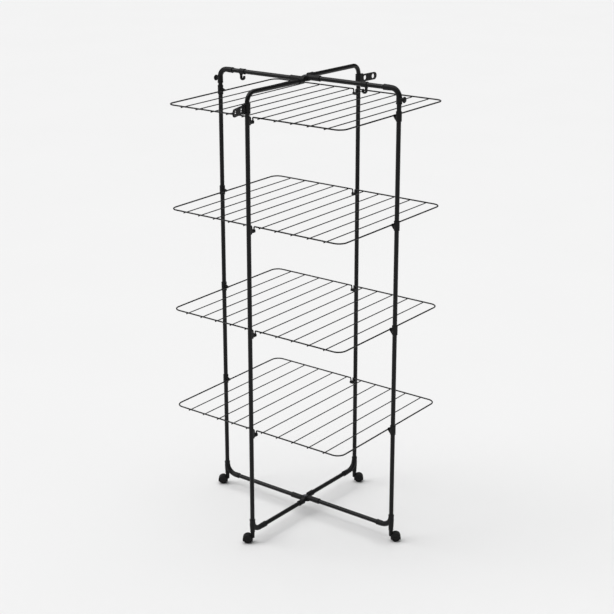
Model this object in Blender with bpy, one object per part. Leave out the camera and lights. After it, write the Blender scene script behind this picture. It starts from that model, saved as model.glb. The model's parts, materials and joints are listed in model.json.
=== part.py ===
"""Free-standing tower clothes airer: two crossing tube frames, four wire shelves, four castors.

Metres, +Z up.  The origin is on the floor, under the upright axis where the two frames cross.
The narrow frame stands in the YZ plane (front post at -Y, rear post at +Y).
The wide frame stands in the XZ plane (left post at -X, right post at +X).
"""
import bpy
import bmesh
import math
from mathutils import Matrix, Vector

# ---------------------------------------------------------------- overall sizes
NARROW_HALF = 0.3106          # upright axis to the front and rear post axes
WIDE_HALF = 0.3818            # upright axis to the left and right post axes
TOP_RAIL_Z = 1.604            # mean height of the top rails' axes
BOTTOM_RAIL_Z = 0.0507        # mean height of the bottom rails' axes
NARROW_STEP = 0.0065          # rear half of the narrow frame sits this much above the mean
WIDE_STEP = 0.0045            # right half of the wide frame sits this much above the mean
NARROW_TURN = math.radians(1.0)   # the frames open a little short of square

# ---------------------------------------------------------------- tube and fits
TUBE_R = 0.008
TUBE_WALL = 0.001
FIT = 0.0003                  # gap between parts that touch
SOCKET_WALL = 0.0022          # wall of a moulded socket round a tube
SOCKET_DEPTH = 0.019          # how far a tube goes into a socket
POST_BEND_R = 0.033           # bend of the narrow frame's posts into its top rails
SOCKET_R = TUBE_R + FIT + SOCKET_WALL
BORE_R = TUBE_R + FIT
TUBE_SIDES = 12
BEND_STEPS = 6

# ---------------------------------------------------------------- hubs
HUB_DISC_R = 0.013
HUB_DISC_T = 0.0085
HUB_ARM_NARROW = 0.041        # upright axis to the end of the narrow frame's hub sleeves
HUB_ARM_WIDE = 0.063          # upright axis to the end of the wide frame's hub sleeves
HUB_ARM_START = 0.0155
HUB_NECK_HALF = 0.0075
HUB_PIN_R = 0.004
HUB_PIN_HEAD_R = 0.008
HUB_PIN_HEAD_T = 0.0035

# ---------------------------------------------------------------- feet and elbows
FOOT_TOP_ABOVE_RAIL = 0.045
FOOT_ARM_NARROW = 0.072
FOOT_ARM_WIDE = 0.060
FOOT_BEND_R = 0.040
STUB_R = 0.0085
STUB_BOTTOM_Z = 0.0445
STEM_R = 0.004
STEM_LENGTH = 0.013
ELBOW_DROP = 0.050            # top rail axis to the lower end of an elbow
ELBOW_ARM = 0.060
ELBOW_BEND_R = 0.030
KNOB_BELOW_RAIL = 0.034
KNOB_BOSS_R = 0.0062
KNOB_BOSS_OUT = SOCKET_R + 0.0035   # post axis to the boss's outer face
KNOB_SHANK_R = 0.003
KNOB_SHANK_LENGTH = 0.0045
KNOB_NECK_R = 0.0065
KNOB_NECK_LENGTH = 0.0035
KNOB_HEAD_R = 0.0105
KNOB_HEAD_T = 0.0065

# ---------------------------------------------------------------- rail hooks
RAIL_HOOK_FROM_POST = {"left": 0.104, "right": 0.137}   # post axis to a rail hook's middle
RAIL_HOOK_COLLAR_LENGTH = 0.023
RAIL_HOOK_WIRE_R = 0.0036
RAIL_HOOK_BROADER = 1.5       # a hook is this much broader than it is thick
RAIL_HOOK_DROP = 0.021        # rail axis to the start of the hook's curve
RAIL_HOOK_BEND_R = 0.0068
RAIL_HOOK_LIP = 0.006

# ---------------------------------------------------------------- hanger holders
HANGER_BELOW_RAIL = 0.050
CLAMP_HEIGHT = 0.033
CLAMP_WALL = 0.0032
HANGER_PIVOT_OUT = TUBE_R + 0.011   # post axis to the holder's upright pin
HANGER_PLATE_REACH = 0.086    # pin to the plate's far end
HANGER_PLATE_HEIGHT = 0.0268
HANGER_PLATE_T = 0.0045
HANGER_HOLE_R = 0.0085
HANGER_HOLE_FROM_PIN = (0.019, 0.066)
HANGER_EYE_R = 0.0048
HANGER_PIN_R = 0.002
HANGER_LUG_R = 0.0065
HANGER_LUG_T = 0.0028
FRONT_HOLDER_TURN = math.radians(17.0)
REAR_HOLDER_TURN = math.radians(-3.0)

# ---------------------------------------------------------------- shelves
SHELF_COUNT = 4
SHELF_BELOW_RAIL = 0.082      # top rails' mean axis to the top shelf's rim
LOWEST_SHELF_Z = 0.4273
SHELF_TO_SIDE_POST = TUBE_R + 0.0051   # rim's axis to the left and right posts' axes
SHELF_TO_END_POST = TUBE_R + 0.0138    # rim's axis to the front and rear posts' axes
SHELF_HALF_X = WIDE_HALF - SHELF_TO_SIDE_POST
SHELF_HALF_Y = NARROW_HALF - SHELF_TO_END_POST
SHELF_CORNER_R = 0.030
RIM_R = 0.0025
WIRE_R = 0.0018
WIRE_COUNT = 10
WIRE_SINK = 0.0006            # how far a wire is welded into the rim rod
WIRE_POKE = 0.004             # how far a wire runs past the rim's axis
ROD_SIDES = 6
LOOP_R = 0.005                # bend of the small loop that hangs in a saddle
LOOP_CENTRE_DROP = 0.010      # rim axis to the loop's centre, which is the tilting axis
LOOP_SHOULDER_R = 0.004
LOOP_SHIFT = SHELF_HALF_Y * math.tan(NARROW_TURN)
CORNER_STEPS = 4

# ---------------------------------------------------------------- saddles and clips
SADDLE_HALF_W = 0.0065
SADDLE_SIDE_GAP = 0.0005
SADDLE_LIP_T = 0.003
SADDLE_BASE_T = 0.0032
SADDLE_LIP_TOP = -0.001       # lip's top edge, above the loop's centre
SADDLE_PAD_HALF_W = 0.007
SADDLE_PAD_OUT = TUBE_R + 0.0032   # post axis to the pad's face
SADDLE_PAD_HEIGHT = 0.020
CLIP_COLLAR_R = TUBE_R + FIT + 0.0021
CLIP_COLLAR_HALF = 0.016
CLIP_COLLAR_DROP = 0.019      # rim to the collar's far end, on the gusset's side
CLIP_HALF_W = 0.005
CLIP_LIP_T = 0.003
CLIP_LIP_TOP = 0.0015
CLIP_SIDE_GAP = 0.0004
CLIP_GUSSET_DROP = {"left": 0.008, "right": 0.016}
CLIP_BACK_RISE = 0.010        # height of the small gusset behind the rim
CLIP_BACK_TIP = 0.0035
CLIP_NOSE_T = 0.0045

# ---------------------------------------------------------------- castors
CASTOR_TRAIL = 0.017          # swivel axis to the wheel axle
CASTOR_TURN = math.radians(37.7)
WHEEL_R = 0.015
WHEEL_T = 0.0085
WHEEL_SIDES = 20
WHEEL_INNER_GAP = 0.0055      # space between the two wheels, where the web is
AXLE_R = 0.0025
HOOD_R = WHEEL_R + 0.003
HOOD_WALL = 0.0018
HOOD_LOW = 0.0095             # height of the hood's lower edge
WEB_T = 0.0035
SWIVEL_BOSS_R = 0.0075

NARROW_WAY = Vector((-math.sin(NARROW_TURN), math.cos(NARROW_TURN), 0.0))
POSTS = {
    "front": NARROW_WAY * -NARROW_HALF,
    "rear": NARROW_WAY * NARROW_HALF,
    "left": Vector((-WIDE_HALF, 0.0, 0.0)),
    "right": Vector((WIDE_HALF, 0.0, 0.0)),
}
STEP = {"front": -NARROW_STEP, "rear": NARROW_STEP, "left": -WIDE_STEP, "right": WIDE_STEP}
SHELF_LEAN = math.atan(NARROW_STEP / NARROW_HALF)


# ================================================================ helpers
def clear_scene():
    """Take every object out of the open file."""
    for item in list(bpy.data.objects):
        bpy.data.objects.remove(item, do_unlink=True)


def make_material(name, color, roughness, metallic=0.0):
    """A Principled material of one colour."""
    material = bpy.data.materials.new(name)
    material.use_nodes = True
    shader = material.node_tree.nodes["Principled BSDF"]
    shader.inputs["Base Color"].default_value = (*color, 1.0)
    shader.inputs["Roughness"].default_value = roughness
    shader.inputs["Metallic"].default_value = metallic
    return material


def add_object(name, mesh, material=None):
    """Link a mesh into the scene, shaded smooth except at sharp edges."""
    item = bpy.data.objects.new(name, mesh)
    bpy.context.scene.collection.objects.link(item)
    if material is not None:
        mesh.materials.clear()
        mesh.materials.append(material)
        mesh.shade_smooth()
        mesh.set_sharp_from_angle(angle=math.radians(35))
    return item


def mesh_from(bm, name="piece"):
    """Turn a bmesh into a mesh whose faces point out."""
    bmesh.ops.recalc_face_normals(bm, faces=bm.faces)
    mesh = bpy.data.meshes.new(name)
    bm.to_mesh(mesh)
    bm.free()
    return mesh


def arc(centre, start, axis, angle, steps):
    """Points from start, turned about centre round axis by angle."""
    points = []
    for index in range(steps + 1):
        turn = Matrix.Rotation(angle * index / steps, 3, axis)
        points.append(centre + turn @ (start - centre))
    return points


def path_frames(points, closed):
    """A turning frame of two cross directions at every point, carried along the path."""
    count = len(points)
    tangents = []
    for index in range(count):
        before = points[index - 1] if closed or index > 0 else points[index]
        after = points[(index + 1) % count] if closed or index < count - 1 else points[index]
        into = (points[index] - before).normalized()
        out = (after - points[index]).normalized()
        tangents.append((into + out).normalized())
    side = tangents[0].orthogonal().normalized()
    frames = []
    previous = tangents[0]
    for tangent in tangents:
        side = previous.rotation_difference(tangent) @ side
        side = (side - tangent * side.dot(tangent)).normalized()
        frames.append([tangent, side])
        previous = tangent
    if closed:
        carried = previous.rotation_difference(tangents[0]) @ side
        twist = math.atan2(carried.cross(frames[0][1]).dot(tangents[0]), carried.dot(frames[0][1]))
        for index, frame in enumerate(frames):
            frame[1] = Matrix.Rotation(twist * index / count, 3, frame[0]) @ frame[1]
    return frames


def ring_points(points, radius, sides, closed):
    """Rings of corner points round a path, mitred at its bends."""
    frames = path_frames(points, closed)
    count = len(points)
    rings = []
    for index, (tangent, side) in enumerate(frames):
        other = tangent.cross(side)
        stretch_axis = None
        if closed or 0 < index < count - 1:
            into = (points[index] - points[index - 1]).normalized()
            out = (points[(index + 1) % count] - points[index]).normalized()
            bend = out - into
            if bend.length > 1e-6:
                stretch_axis = bend.normalized()
                stretch = 1.0 / max(math.cos(into.angle(out) / 2.0), 0.5)
        ring = []
        for corner in range(sides):
            angle = 2.0 * math.pi * corner / sides
            offset = (side * math.cos(angle) + other * math.sin(angle)) * radius
            if stretch_axis is not None:
                offset += stretch_axis * offset.dot(stretch_axis) * (stretch - 1.0)
            ring.append(points[index] + offset)
        rings.append(ring)
    return rings


def skin(bm, rings, closed):
    """Quads between neighbouring rings; gives back the rings' corner vertices."""
    layers = [[bm.verts.new(corner) for corner in ring] for ring in rings]
    sides = len(rings[0])
    spans = len(layers) if closed else len(layers) - 1
    for index in range(spans):
        low = layers[index]
        high = layers[(index + 1) % len(layers)]
        for corner in range(sides):
            after = (corner + 1) % sides
            bm.faces.new((low[corner], low[after], high[after], high[corner]))
    return layers


def rod_mesh(points, radius, sides=TUBE_SIDES, closed=False):
    """A solid round rod along a path."""
    bm = bmesh.new()
    layers = skin(bm, ring_points(points, radius, sides, closed), closed)
    if not closed:
        bm.faces.new(layers[0])
        bm.faces.new(layers[-1])
    return mesh_from(bm)


def tube_mesh(points, radius, wall, sides=TUBE_SIDES):
    """A hollow tube along a path, open at both ends."""
    bm = bmesh.new()
    outer = skin(bm, ring_points(points, radius, sides, False), False)
    inner = skin(bm, ring_points(points, radius - wall, sides, False), False)
    for end in (0, -1):
        for corner in range(sides):
            after = (corner + 1) % sides
            bm.faces.new((outer[end][corner], outer[end][after], inner[end][after], inner[end][corner]))
    return mesh_from(bm)


def box_mesh(low, high):
    """A box between two opposite corners."""
    bm = bmesh.new()
    bmesh.ops.create_cube(bm, size=1.0)
    for vert in bm.verts:
        for axis in range(3):
            middle = (low[axis] + high[axis]) / 2.0
            vert.co[axis] = middle + vert.co[axis] * (high[axis] - low[axis])
    return mesh_from(bm)


def turned_mesh(profile, sides=TUBE_SIDES):
    """A solid of revolution about Z from (radius, height) points, bottom to top."""
    bm = bmesh.new()
    rings = []
    for radius, height in profile:
        ring = []
        for corner in range(sides):
            angle = 2.0 * math.pi * corner / sides
            ring.append(Vector((radius * math.cos(angle), radius * math.sin(angle), height)))
        rings.append(ring)
    layers = skin(bm, rings, False)
    bm.faces.new(layers[0])
    bm.faces.new(layers[-1])
    return mesh_from(bm)


def plate_mesh(outline, half_width):
    """A flat outline of (x, z) points, thickened to both sides along Y."""
    bm = bmesh.new()
    near = [bm.verts.new((x, -half_width, z)) for x, z in outline]
    far = [bm.verts.new((x, half_width, z)) for x, z in outline]
    bm.faces.new(near)
    bm.faces.new(far)
    for index in range(len(outline)):
        after = (index + 1) % len(outline)
        bm.faces.new((near[index], near[after], far[after], far[index]))
    return mesh_from(bm)


def moved(mesh, matrix):
    """The same mesh, carried by a matrix."""
    mesh.transform(matrix)
    return mesh


def fuse(name, solids, cuts, material, place=None):
    """One closed piece: the first solid joined with the others, less the cuts."""
    base = add_object(name, solids[0])
    helpers = []
    for operation, meshes in (("UNION", solids[1:]), ("DIFFERENCE", cuts)):
        for mesh in meshes:
            helper = add_object(name + "_tool", mesh)
            modifier = base.modifiers.new("join", "BOOLEAN")
            modifier.operation = operation
            modifier.solver = "EXACT"
            modifier.object = helper
            helpers.append(helper)
    depsgraph = bpy.context.evaluated_depsgraph_get()
    mesh = bpy.data.meshes.new_from_object(base.evaluated_get(depsgraph))
    for item in helpers + [base]:
        bpy.data.objects.remove(item, do_unlink=True)
    bm = bmesh.new()
    bm.from_mesh(mesh)
    bmesh.ops.remove_doubles(bm, verts=bm.verts, dist=1e-6)
    bmesh.ops.dissolve_degenerate(bm, edges=bm.edges, dist=1e-6)
    bm.to_mesh(mesh)
    bm.free()
    mesh.name = name
    item = add_object(name, mesh, material)
    if place is not None:
        item.matrix_world = place
    return item


def facing(side):
    """Turn that takes local +X to the direction from a post towards the upright axis."""
    inward = -POSTS[side].normalized()
    return Matrix.Rotation(math.atan2(inward.y, inward.x), 4, "Z")


def at_post(side, height):
    """Place of a piece on a post: local +X points inward, local origin on the post's axis."""
    return Matrix.Translation(POSTS[side] + Vector((0.0, 0.0, height))) @ facing(side)


def along_x(mesh):
    """Turn a piece made along Z so that it runs along X."""
    return moved(mesh, Matrix.Rotation(math.radians(90), 4, "Y"))


# ================================================================ frames
def corner_path(drop, arm, bend_r):
    """From a post's axis up, round a bend and inward, in local post coordinates."""
    bend = arc(Vector((bend_r, 0, -bend_r)), Vector((0, 0, -bend_r)), "Y", math.radians(90), BEND_STEPS)
    return [Vector((0, 0, -drop))] + bend + [Vector((arm, 0, 0))]


def foot_path(rise, arm, bend_r):
    """The same corner the other way up, for the feet."""
    return [Vector((p.x, p.y, -p.z)) for p in corner_path(rise, arm, bend_r)]


def make_narrow_frame(paint):
    """Front and rear posts, each one tube with its half of the top rail, and the bottom rails."""
    for side in ("front", "rear"):
        rail_z = TOP_RAIL_Z + STEP[side]
        foot_z = BOTTOM_RAIL_Z + STEP[side]
        post_end = foot_z + FOOT_TOP_ABOVE_RAIL - SOCKET_DEPTH + FIT
        reach = NARROW_HALF - HUB_ARM_NARROW + SOCKET_DEPTH - FIT
        path = corner_path(rail_z - post_end, reach, POST_BEND_R)
        mesh = tube_mesh(path, TUBE_R, TUBE_WALL)
        item = add_object(side + "_post_and_top_rail", mesh, paint)
        item.matrix_world = at_post(side, rail_z)
        make_bottom_rail(side, FOOT_ARM_NARROW, HUB_ARM_NARROW, paint)


def make_bottom_rail(side, foot_arm, hub_arm, paint):
    """A straight tube from a foot's socket to the bottom hub's sleeve."""
    start = foot_arm - SOCKET_DEPTH + FIT
    end = POSTS[side].length - hub_arm + SOCKET_DEPTH - FIT
    mesh = tube_mesh([Vector((start, 0, 0)), Vector((end, 0, 0))], TUBE_R, TUBE_WALL)
    item = add_object(side + "_bottom_rail", mesh, paint)
    item.matrix_world = at_post(side, BOTTOM_RAIL_Z + STEP[side])


def make_wide_frame(paint):
    """Left and right posts, top half rails between elbow and hub, and the bottom rails."""
    for side in ("left", "right"):
        rail_z = TOP_RAIL_Z + STEP[side]
        foot_z = BOTTOM_RAIL_Z + STEP[side]
        low = foot_z + FOOT_TOP_ABOVE_RAIL - SOCKET_DEPTH + FIT
        high = rail_z - ELBOW_DROP + SOCKET_DEPTH - FIT
        post = add_object(side + "_post", tube_mesh([Vector((0, 0, low)), Vector((0, 0, high))],
                                                    TUBE_R, TUBE_WALL), paint)
        post.matrix_world = at_post(side, 0.0)
        start = ELBOW_ARM - SOCKET_DEPTH + FIT
        end = WIDE_HALF - HUB_ARM_WIDE + SOCKET_DEPTH - FIT
        rail = add_object(side + "_top_rail", tube_mesh([Vector((start, 0, 0)), Vector((end, 0, 0))],
                                                        TUBE_R, TUBE_WALL), paint)
        rail.matrix_world = at_post(side, rail_z)
        make_bottom_rail(side, FOOT_ARM_WIDE, HUB_ARM_WIDE, paint)


def make_elbow(side, plastic):
    """Moulded corner of the wide frame, with a boss for its knob on the outer side."""
    body = rod_mesh(corner_path(ELBOW_DROP, ELBOW_ARM, ELBOW_BEND_R), SOCKET_R)
    boss = along_x(turned_mesh([(KNOB_BOSS_R, -KNOB_BOSS_OUT), (KNOB_BOSS_R, -SOCKET_R + SOCKET_WALL)]))
    boss = moved(boss, Matrix.Translation((0, 0, -KNOB_BELOW_RAIL)))
    post_bore = rod_mesh([Vector((0, 0, -ELBOW_DROP - FIT)), Vector((0, 0, -ELBOW_DROP + SOCKET_DEPTH))],
                         BORE_R)
    rail_bore = rod_mesh([Vector((ELBOW_ARM - SOCKET_DEPTH, 0, 0)), Vector((ELBOW_ARM + FIT, 0, 0))],
                         BORE_R)
    bore_end = -KNOB_BOSS_OUT + KNOB_SHANK_LENGTH + FIT
    shank_bore = along_x(turned_mesh([(KNOB_SHANK_R + FIT, -KNOB_BOSS_OUT - FIT),
                                      (KNOB_SHANK_R + FIT, bore_end)]))
    shank_bore = moved(shank_bore, Matrix.Translation((0, 0, -KNOB_BELOW_RAIL)))
    place = at_post(side, TOP_RAIL_Z + STEP[side])
    fuse(side + "_elbow", [body, boss], [post_bore, rail_bore, shank_bore], plastic, place)


def make_knob(side, plastic):
    """Mushroom knob, its shank in the elbow's boss."""
    neck = -KNOB_BOSS_OUT - FIT
    head = neck - KNOB_NECK_LENGTH
    tip = head - KNOB_HEAD_T
    profile = [(KNOB_HEAD_R * 0.45, tip), (KNOB_HEAD_R * 0.85, tip + 0.0015),
               (KNOB_HEAD_R, tip + 0.004), (KNOB_HEAD_R * 0.96, head),
               (KNOB_NECK_R, head + 0.0006), (KNOB_NECK_R, neck),
               (KNOB_SHANK_R, neck), (KNOB_SHANK_R, -KNOB_BOSS_OUT + KNOB_SHANK_LENGTH)]
    item = add_object(side + "_knob", along_x(turned_mesh(profile)), plastic)
    item.matrix_world = at_post(side, TOP_RAIL_Z + STEP[side] - KNOB_BELOW_RAIL)


def make_foot(side, arm, plastic):
    """Moulded foot: post socket, bottom rail socket and a stub for the castor's stem."""
    rail_z = BOTTOM_RAIL_Z + STEP[side]
    body = rod_mesh(foot_path(FOOT_TOP_ABOVE_RAIL, arm, FOOT_BEND_R), SOCKET_R)
    stub_low = STUB_BOTTOM_Z - rail_z
    stub = turned_mesh([(STUB_R, stub_low), (SOCKET_R - FIT, FOOT_TOP_ABOVE_RAIL - FIT)])
    post_bore = rod_mesh([Vector((0, 0, FOOT_TOP_ABOVE_RAIL - SOCKET_DEPTH)),
                          Vector((0, 0, FOOT_TOP_ABOVE_RAIL + FIT))], BORE_R)
    rail_bore = rod_mesh([Vector((arm - SOCKET_DEPTH, 0, 0)), Vector((arm + FIT, 0, 0))], BORE_R)
    stem_bore = rod_mesh([Vector((0, 0, stub_low - FIT)), Vector((0, 0, stub_low + STEM_LENGTH + FIT))],
                         STEM_R + FIT)
    fuse(side + "_foot", [body, stub], [post_bore, rail_bore, stem_bore], plastic, at_post(side, rail_z))


# ================================================================ hubs
def make_hub(name, height, low_side, high_side, arm, disc_low, plastic):
    """Half of a crossing hub: a disc, and a sleeve to each side at that side's own level."""
    disc = turned_mesh([(HUB_DISC_R, disc_low), (HUB_DISC_R, disc_low + HUB_DISC_T)], 2 * TUBE_SIDES)
    solids = [disc]
    cuts = [rod_mesh([Vector((0, 0, disc_low - FIT)), Vector((0, 0, disc_low + HUB_DISC_T + FIT))],
                     HUB_PIN_R + FIT)]
    for side in (low_side, high_side):
        out = POSTS[side].normalized()
        level = Vector((0, 0, STEP[side]))
        solids.append(rod_mesh([out * HUB_ARM_START + level, out * arm + level], SOCKET_R))
        across = Vector((-out.y, out.x, 0)) * HUB_NECK_HALF
        inner = out * (HUB_PIN_R + 2 * FIT)
        outer = out * (HUB_ARM_START + SOCKET_R * 0.4)
        corners = [inner + across, inner - across, outer + across, outer - across]
        low = [min(c[axis] for c in corners) for axis in (0, 1)] + [disc_low]
        high = [max(c[axis] for c in corners) for axis in (0, 1)] + [disc_low + HUB_DISC_T]
        solids.append(box_mesh(low, high))
        cuts.append(rod_mesh([out * (arm - SOCKET_DEPTH) + level, out * (arm + FIT) + level], BORE_R))
    fuse(name, solids, cuts, plastic, Matrix.Translation((0, 0, height)))


def make_hub_pin(name, height, steel):
    """The upright pin that the two frames fold about, with a round head on top."""
    top = FIT / 2 + HUB_DISC_T + FIT
    bottom = -top
    profile = [(HUB_PIN_R, bottom), (HUB_PIN_R, top), (HUB_PIN_HEAD_R, top),
               (HUB_PIN_HEAD_R, top + HUB_PIN_HEAD_T * 0.5), (HUB_PIN_HEAD_R * 0.6, top + HUB_PIN_HEAD_T)]
    item = add_object(name, turned_mesh(profile, 2 * TUBE_SIDES), steel)
    item.location = (0, 0, height)


# ================================================================ rail hooks and hanger holders
def make_rail_hook(side, plastic):
    """Collar on a top rail of the wide frame, with a hook below that opens inward."""
    half = RAIL_HOOK_COLLAR_LENGTH / 2
    collar = rod_mesh([Vector((-half, 0, 0)), Vector((half, 0, 0))], SOCKET_R)
    start = Vector((-RAIL_HOOK_BEND_R, 0, -TUBE_R - FIT - SOCKET_WALL / 2))
    bend = arc(Vector((0, 0, -RAIL_HOOK_DROP)), Vector((-RAIL_HOOK_BEND_R, 0, -RAIL_HOOK_DROP)), "Y",
               math.radians(-180), BEND_STEPS)
    lip = bend[-1] + Vector((0, 0, RAIL_HOOK_LIP))
    hook = rod_mesh([start] + bend + [lip], RAIL_HOOK_WIRE_R, 8)
    hook = moved(hook, Matrix.Scale(RAIL_HOOK_BROADER, 4, (0, 1, 0)))
    bore = rod_mesh([Vector((-half - FIT, 0, 0)), Vector((half + FIT, 0, 0))], BORE_R)
    place = at_post(side, TOP_RAIL_Z + STEP[side]) @ Matrix.Translation((RAIL_HOOK_FROM_POST[side], 0, 0))
    fuse(side + "_rail_hook", [collar, hook], [bore], plastic, place)


def make_hanger_clamp(side, plastic):
    """Collar round a post of the narrow frame with two lugs for the holder's pin."""
    half = CLAMP_HEIGHT / 2
    radius = TUBE_R + FIT + CLAMP_WALL
    solids = [rod_mesh([Vector((0, 0, -half)), Vector((0, 0, half))], radius)]
    cuts = [rod_mesh([Vector((0, 0, -half - FIT)), Vector((0, 0, half + FIT))], BORE_R)]
    for sign in (-1, 1):
        outer = sign * half
        inner = sign * (half - HANGER_LUG_T)
        low = min(outer, inner)
        high = max(outer, inner)
        solids.append(box_mesh((-HANGER_PIVOT_OUT, -HANGER_LUG_R, low),
                               (-TUBE_R - 0.001, HANGER_LUG_R, high)))
        solids.append(moved(turned_mesh([(HANGER_LUG_R, low), (HANGER_LUG_R, high)]),
                            Matrix.Translation((-HANGER_PIVOT_OUT, 0, 0))))
        cuts.append(moved(turned_mesh([(HANGER_PIN_R + FIT, low - FIT), (HANGER_PIN_R + FIT, high + FIT)]),
                          Matrix.Translation((-HANGER_PIVOT_OUT, 0, 0))))
    place = at_post(side, TOP_RAIL_Z + STEP[side] - HANGER_BELOW_RAIL)
    fuse(side + "_hanger_clamp", solids, cuts, plastic, place)


def hanger_place(side, turn):
    """Place of a swinging holder: its origin is on its pin, local -X points out along the plate."""
    place = at_post(side, TOP_RAIL_Z + STEP[side] - HANGER_BELOW_RAIL)
    return place @ Matrix.Translation((-HANGER_PIVOT_OUT, 0, 0)) @ Matrix.Rotation(turn, 4, "Z")


def make_hanger_holder(side, turn, plastic):
    """Upright plate with two round holes for coat hangers, on an eye that turns about the pin."""
    half = HANGER_PLATE_HEIGHT / 2
    end = HANGER_PLATE_REACH - half
    outline = [(0, -half), (0, half)]
    outline += [(-end + half * math.cos(a), half * math.sin(a))
                for a in [math.radians(90 + 180 * k / 10) for k in range(11)]]
    plate = plate_mesh(outline, HANGER_PLATE_T / 2)
    eye = turned_mesh([(HANGER_EYE_R, -half), (HANGER_EYE_R, half)])
    cuts = [turned_mesh([(HANGER_PIN_R + FIT, -half - FIT), (HANGER_PIN_R + FIT, half + FIT)])]
    for distance in HANGER_HOLE_FROM_PIN:
        cuts.append(rod_mesh([Vector((-distance, -HANGER_PLATE_T, 0)), Vector((-distance, HANGER_PLATE_T, 0))],
                             HANGER_HOLE_R, 2 * TUBE_SIDES))
    fuse(side + "_hanger_plate", [plate, eye], cuts, plastic, hanger_place(side, turn))


def make_hanger_pin(side, turn, steel):
    """Pin through the clamp's lugs and the holder's eye."""
    half = CLAMP_HEIGHT / 2
    item = add_object(side + "_hanger_pin", turned_mesh([(HANGER_PIN_R, -half), (HANGER_PIN_R, half)]), steel)
    item.matrix_world = hanger_place(side, turn)


# ================================================================ shelves
def loop_points():
    """Half of the rim's hanging loop, from the loop's lowest point to the straight rim, +X side."""
    centre = Vector((0, 0, -LOOP_CENTRE_DROP))
    low = arc(centre, centre + Vector((0, 0, -LOOP_R)), "Y", math.radians(-90), 4)
    shoulder = Vector((LOOP_R + LOOP_SHOULDER_R, 0, -LOOP_SHOULDER_R))
    high = arc(shoulder, shoulder + Vector((-LOOP_SHOULDER_R, 0, 0)), "Y", math.radians(90), 3)
    return low + high


def rim_points():
    """The closed rim: a loop in line with the posts on each side along X, and rounded corners."""
    half = loop_points()
    loop = [Vector((-p.x, 0, p.z)) for p in reversed(half[1:])] + half
    points = []
    for sign in (-1, 1):
        middle = Vector((-sign * LOOP_SHIFT, sign * SHELF_HALF_Y, 0))
        points += [middle + Vector((-sign * p.x, 0, p.z)) for p in loop]
        for corner in (0, 1):
            centre = Vector((-sign * (SHELF_HALF_X - SHELF_CORNER_R),
                             (1 - 2 * corner) * sign * (SHELF_HALF_Y - SHELF_CORNER_R), 0))
            start = math.radians(90 * sign + 90 * corner)
            for step in range(CORNER_STEPS + 1):
                angle = start + math.radians(90 * step / CORNER_STEPS)
                points.append(centre + Vector((math.cos(angle), math.sin(angle), 0)) * SHELF_CORNER_R)
    return points


def shelf_place(height):
    """A shelf leans with the posts that carry it: its rear edge stands above its front edge."""
    return Matrix.Translation((0, 0, height)) @ Matrix.Rotation(SHELF_LEAN, 4, "X")


def make_shelf(name, height, paint):
    """Rim rod with its two hanging loops, and the wires welded under it.

    The piece's origin is on its tilting axis, midway between the two loops' centres.
    """
    rim = rod_mesh(rim_points(), RIM_R, ROD_SIDES, closed=True)
    pitch = 2 * SHELF_HALF_X / (WIRE_COUNT + 1)
    drop = -(RIM_R + WIRE_R - WIRE_SINK)
    wires = []
    for index in range(WIRE_COUNT):
        x = (index + 1) * pitch - SHELF_HALF_X
        reach = SHELF_HALF_Y + WIRE_POKE
        wires.append(rod_mesh([Vector((x, -reach, drop)), Vector((x, reach, drop))], WIRE_R, ROD_SIDES))
    solids = [moved(mesh, Matrix.Translation((0, 0, LOOP_CENTRE_DROP))) for mesh in [rim] + wires]
    fuse(name, solids, [], paint, shelf_place(height) @ Matrix.Translation((0, 0, -LOOP_CENTRE_DROP)))


def rim_height(side, height):
    """Height of a shelf's rim where it passes a post."""
    if side in ("front", "rear"):
        sign = -1 if side == "front" else 1
        return height + sign * SHELF_HALF_Y * math.sin(SHELF_LEAN)
    return height


def make_saddle(name, side, height, plastic):
    """Hook on a post's inner side that the shelf's loop hangs and tilts in."""
    rod_out = NARROW_HALF - SHELF_HALF_Y * math.cos(SHELF_LEAN)
    channel = RIM_R + SADDLE_SIDE_GAP
    base_top = -LOOP_R - RIM_R - FIT
    base_low = base_top - SADDLE_BASE_T
    lip = rod_out + channel
    width = SADDLE_HALF_W
    pad_low = base_low - 0.003
    pad = box_mesh((0.002, -SADDLE_PAD_HALF_W, pad_low),
                   (SADDLE_PAD_OUT, SADDLE_PAD_HALF_W, pad_low + SADDLE_PAD_HEIGHT))
    base = box_mesh((SADDLE_PAD_OUT - 0.001, -width, base_low), (lip + SADDLE_LIP_T, width, base_top))
    back = box_mesh((SADDLE_PAD_OUT - 0.001, -width, base_low + 0.001), (rod_out - channel, width, -0.004))
    front = box_mesh((lip, -width, base_low), (lip + SADDLE_LIP_T, width, SADDLE_LIP_TOP))
    post = rod_mesh([Vector((0, 0, pad_low - 0.01)), Vector((0, 0, pad_low + SADDLE_PAD_HEIGHT + 0.01))],
                    BORE_R, 2 * TUBE_SIDES)
    axis_z = rim_height(side, height) - LOOP_CENTRE_DROP * math.cos(SHELF_LEAN)
    fuse(name, [pad, base, back, front], [post], plastic, at_post(side, axis_z))


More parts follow.
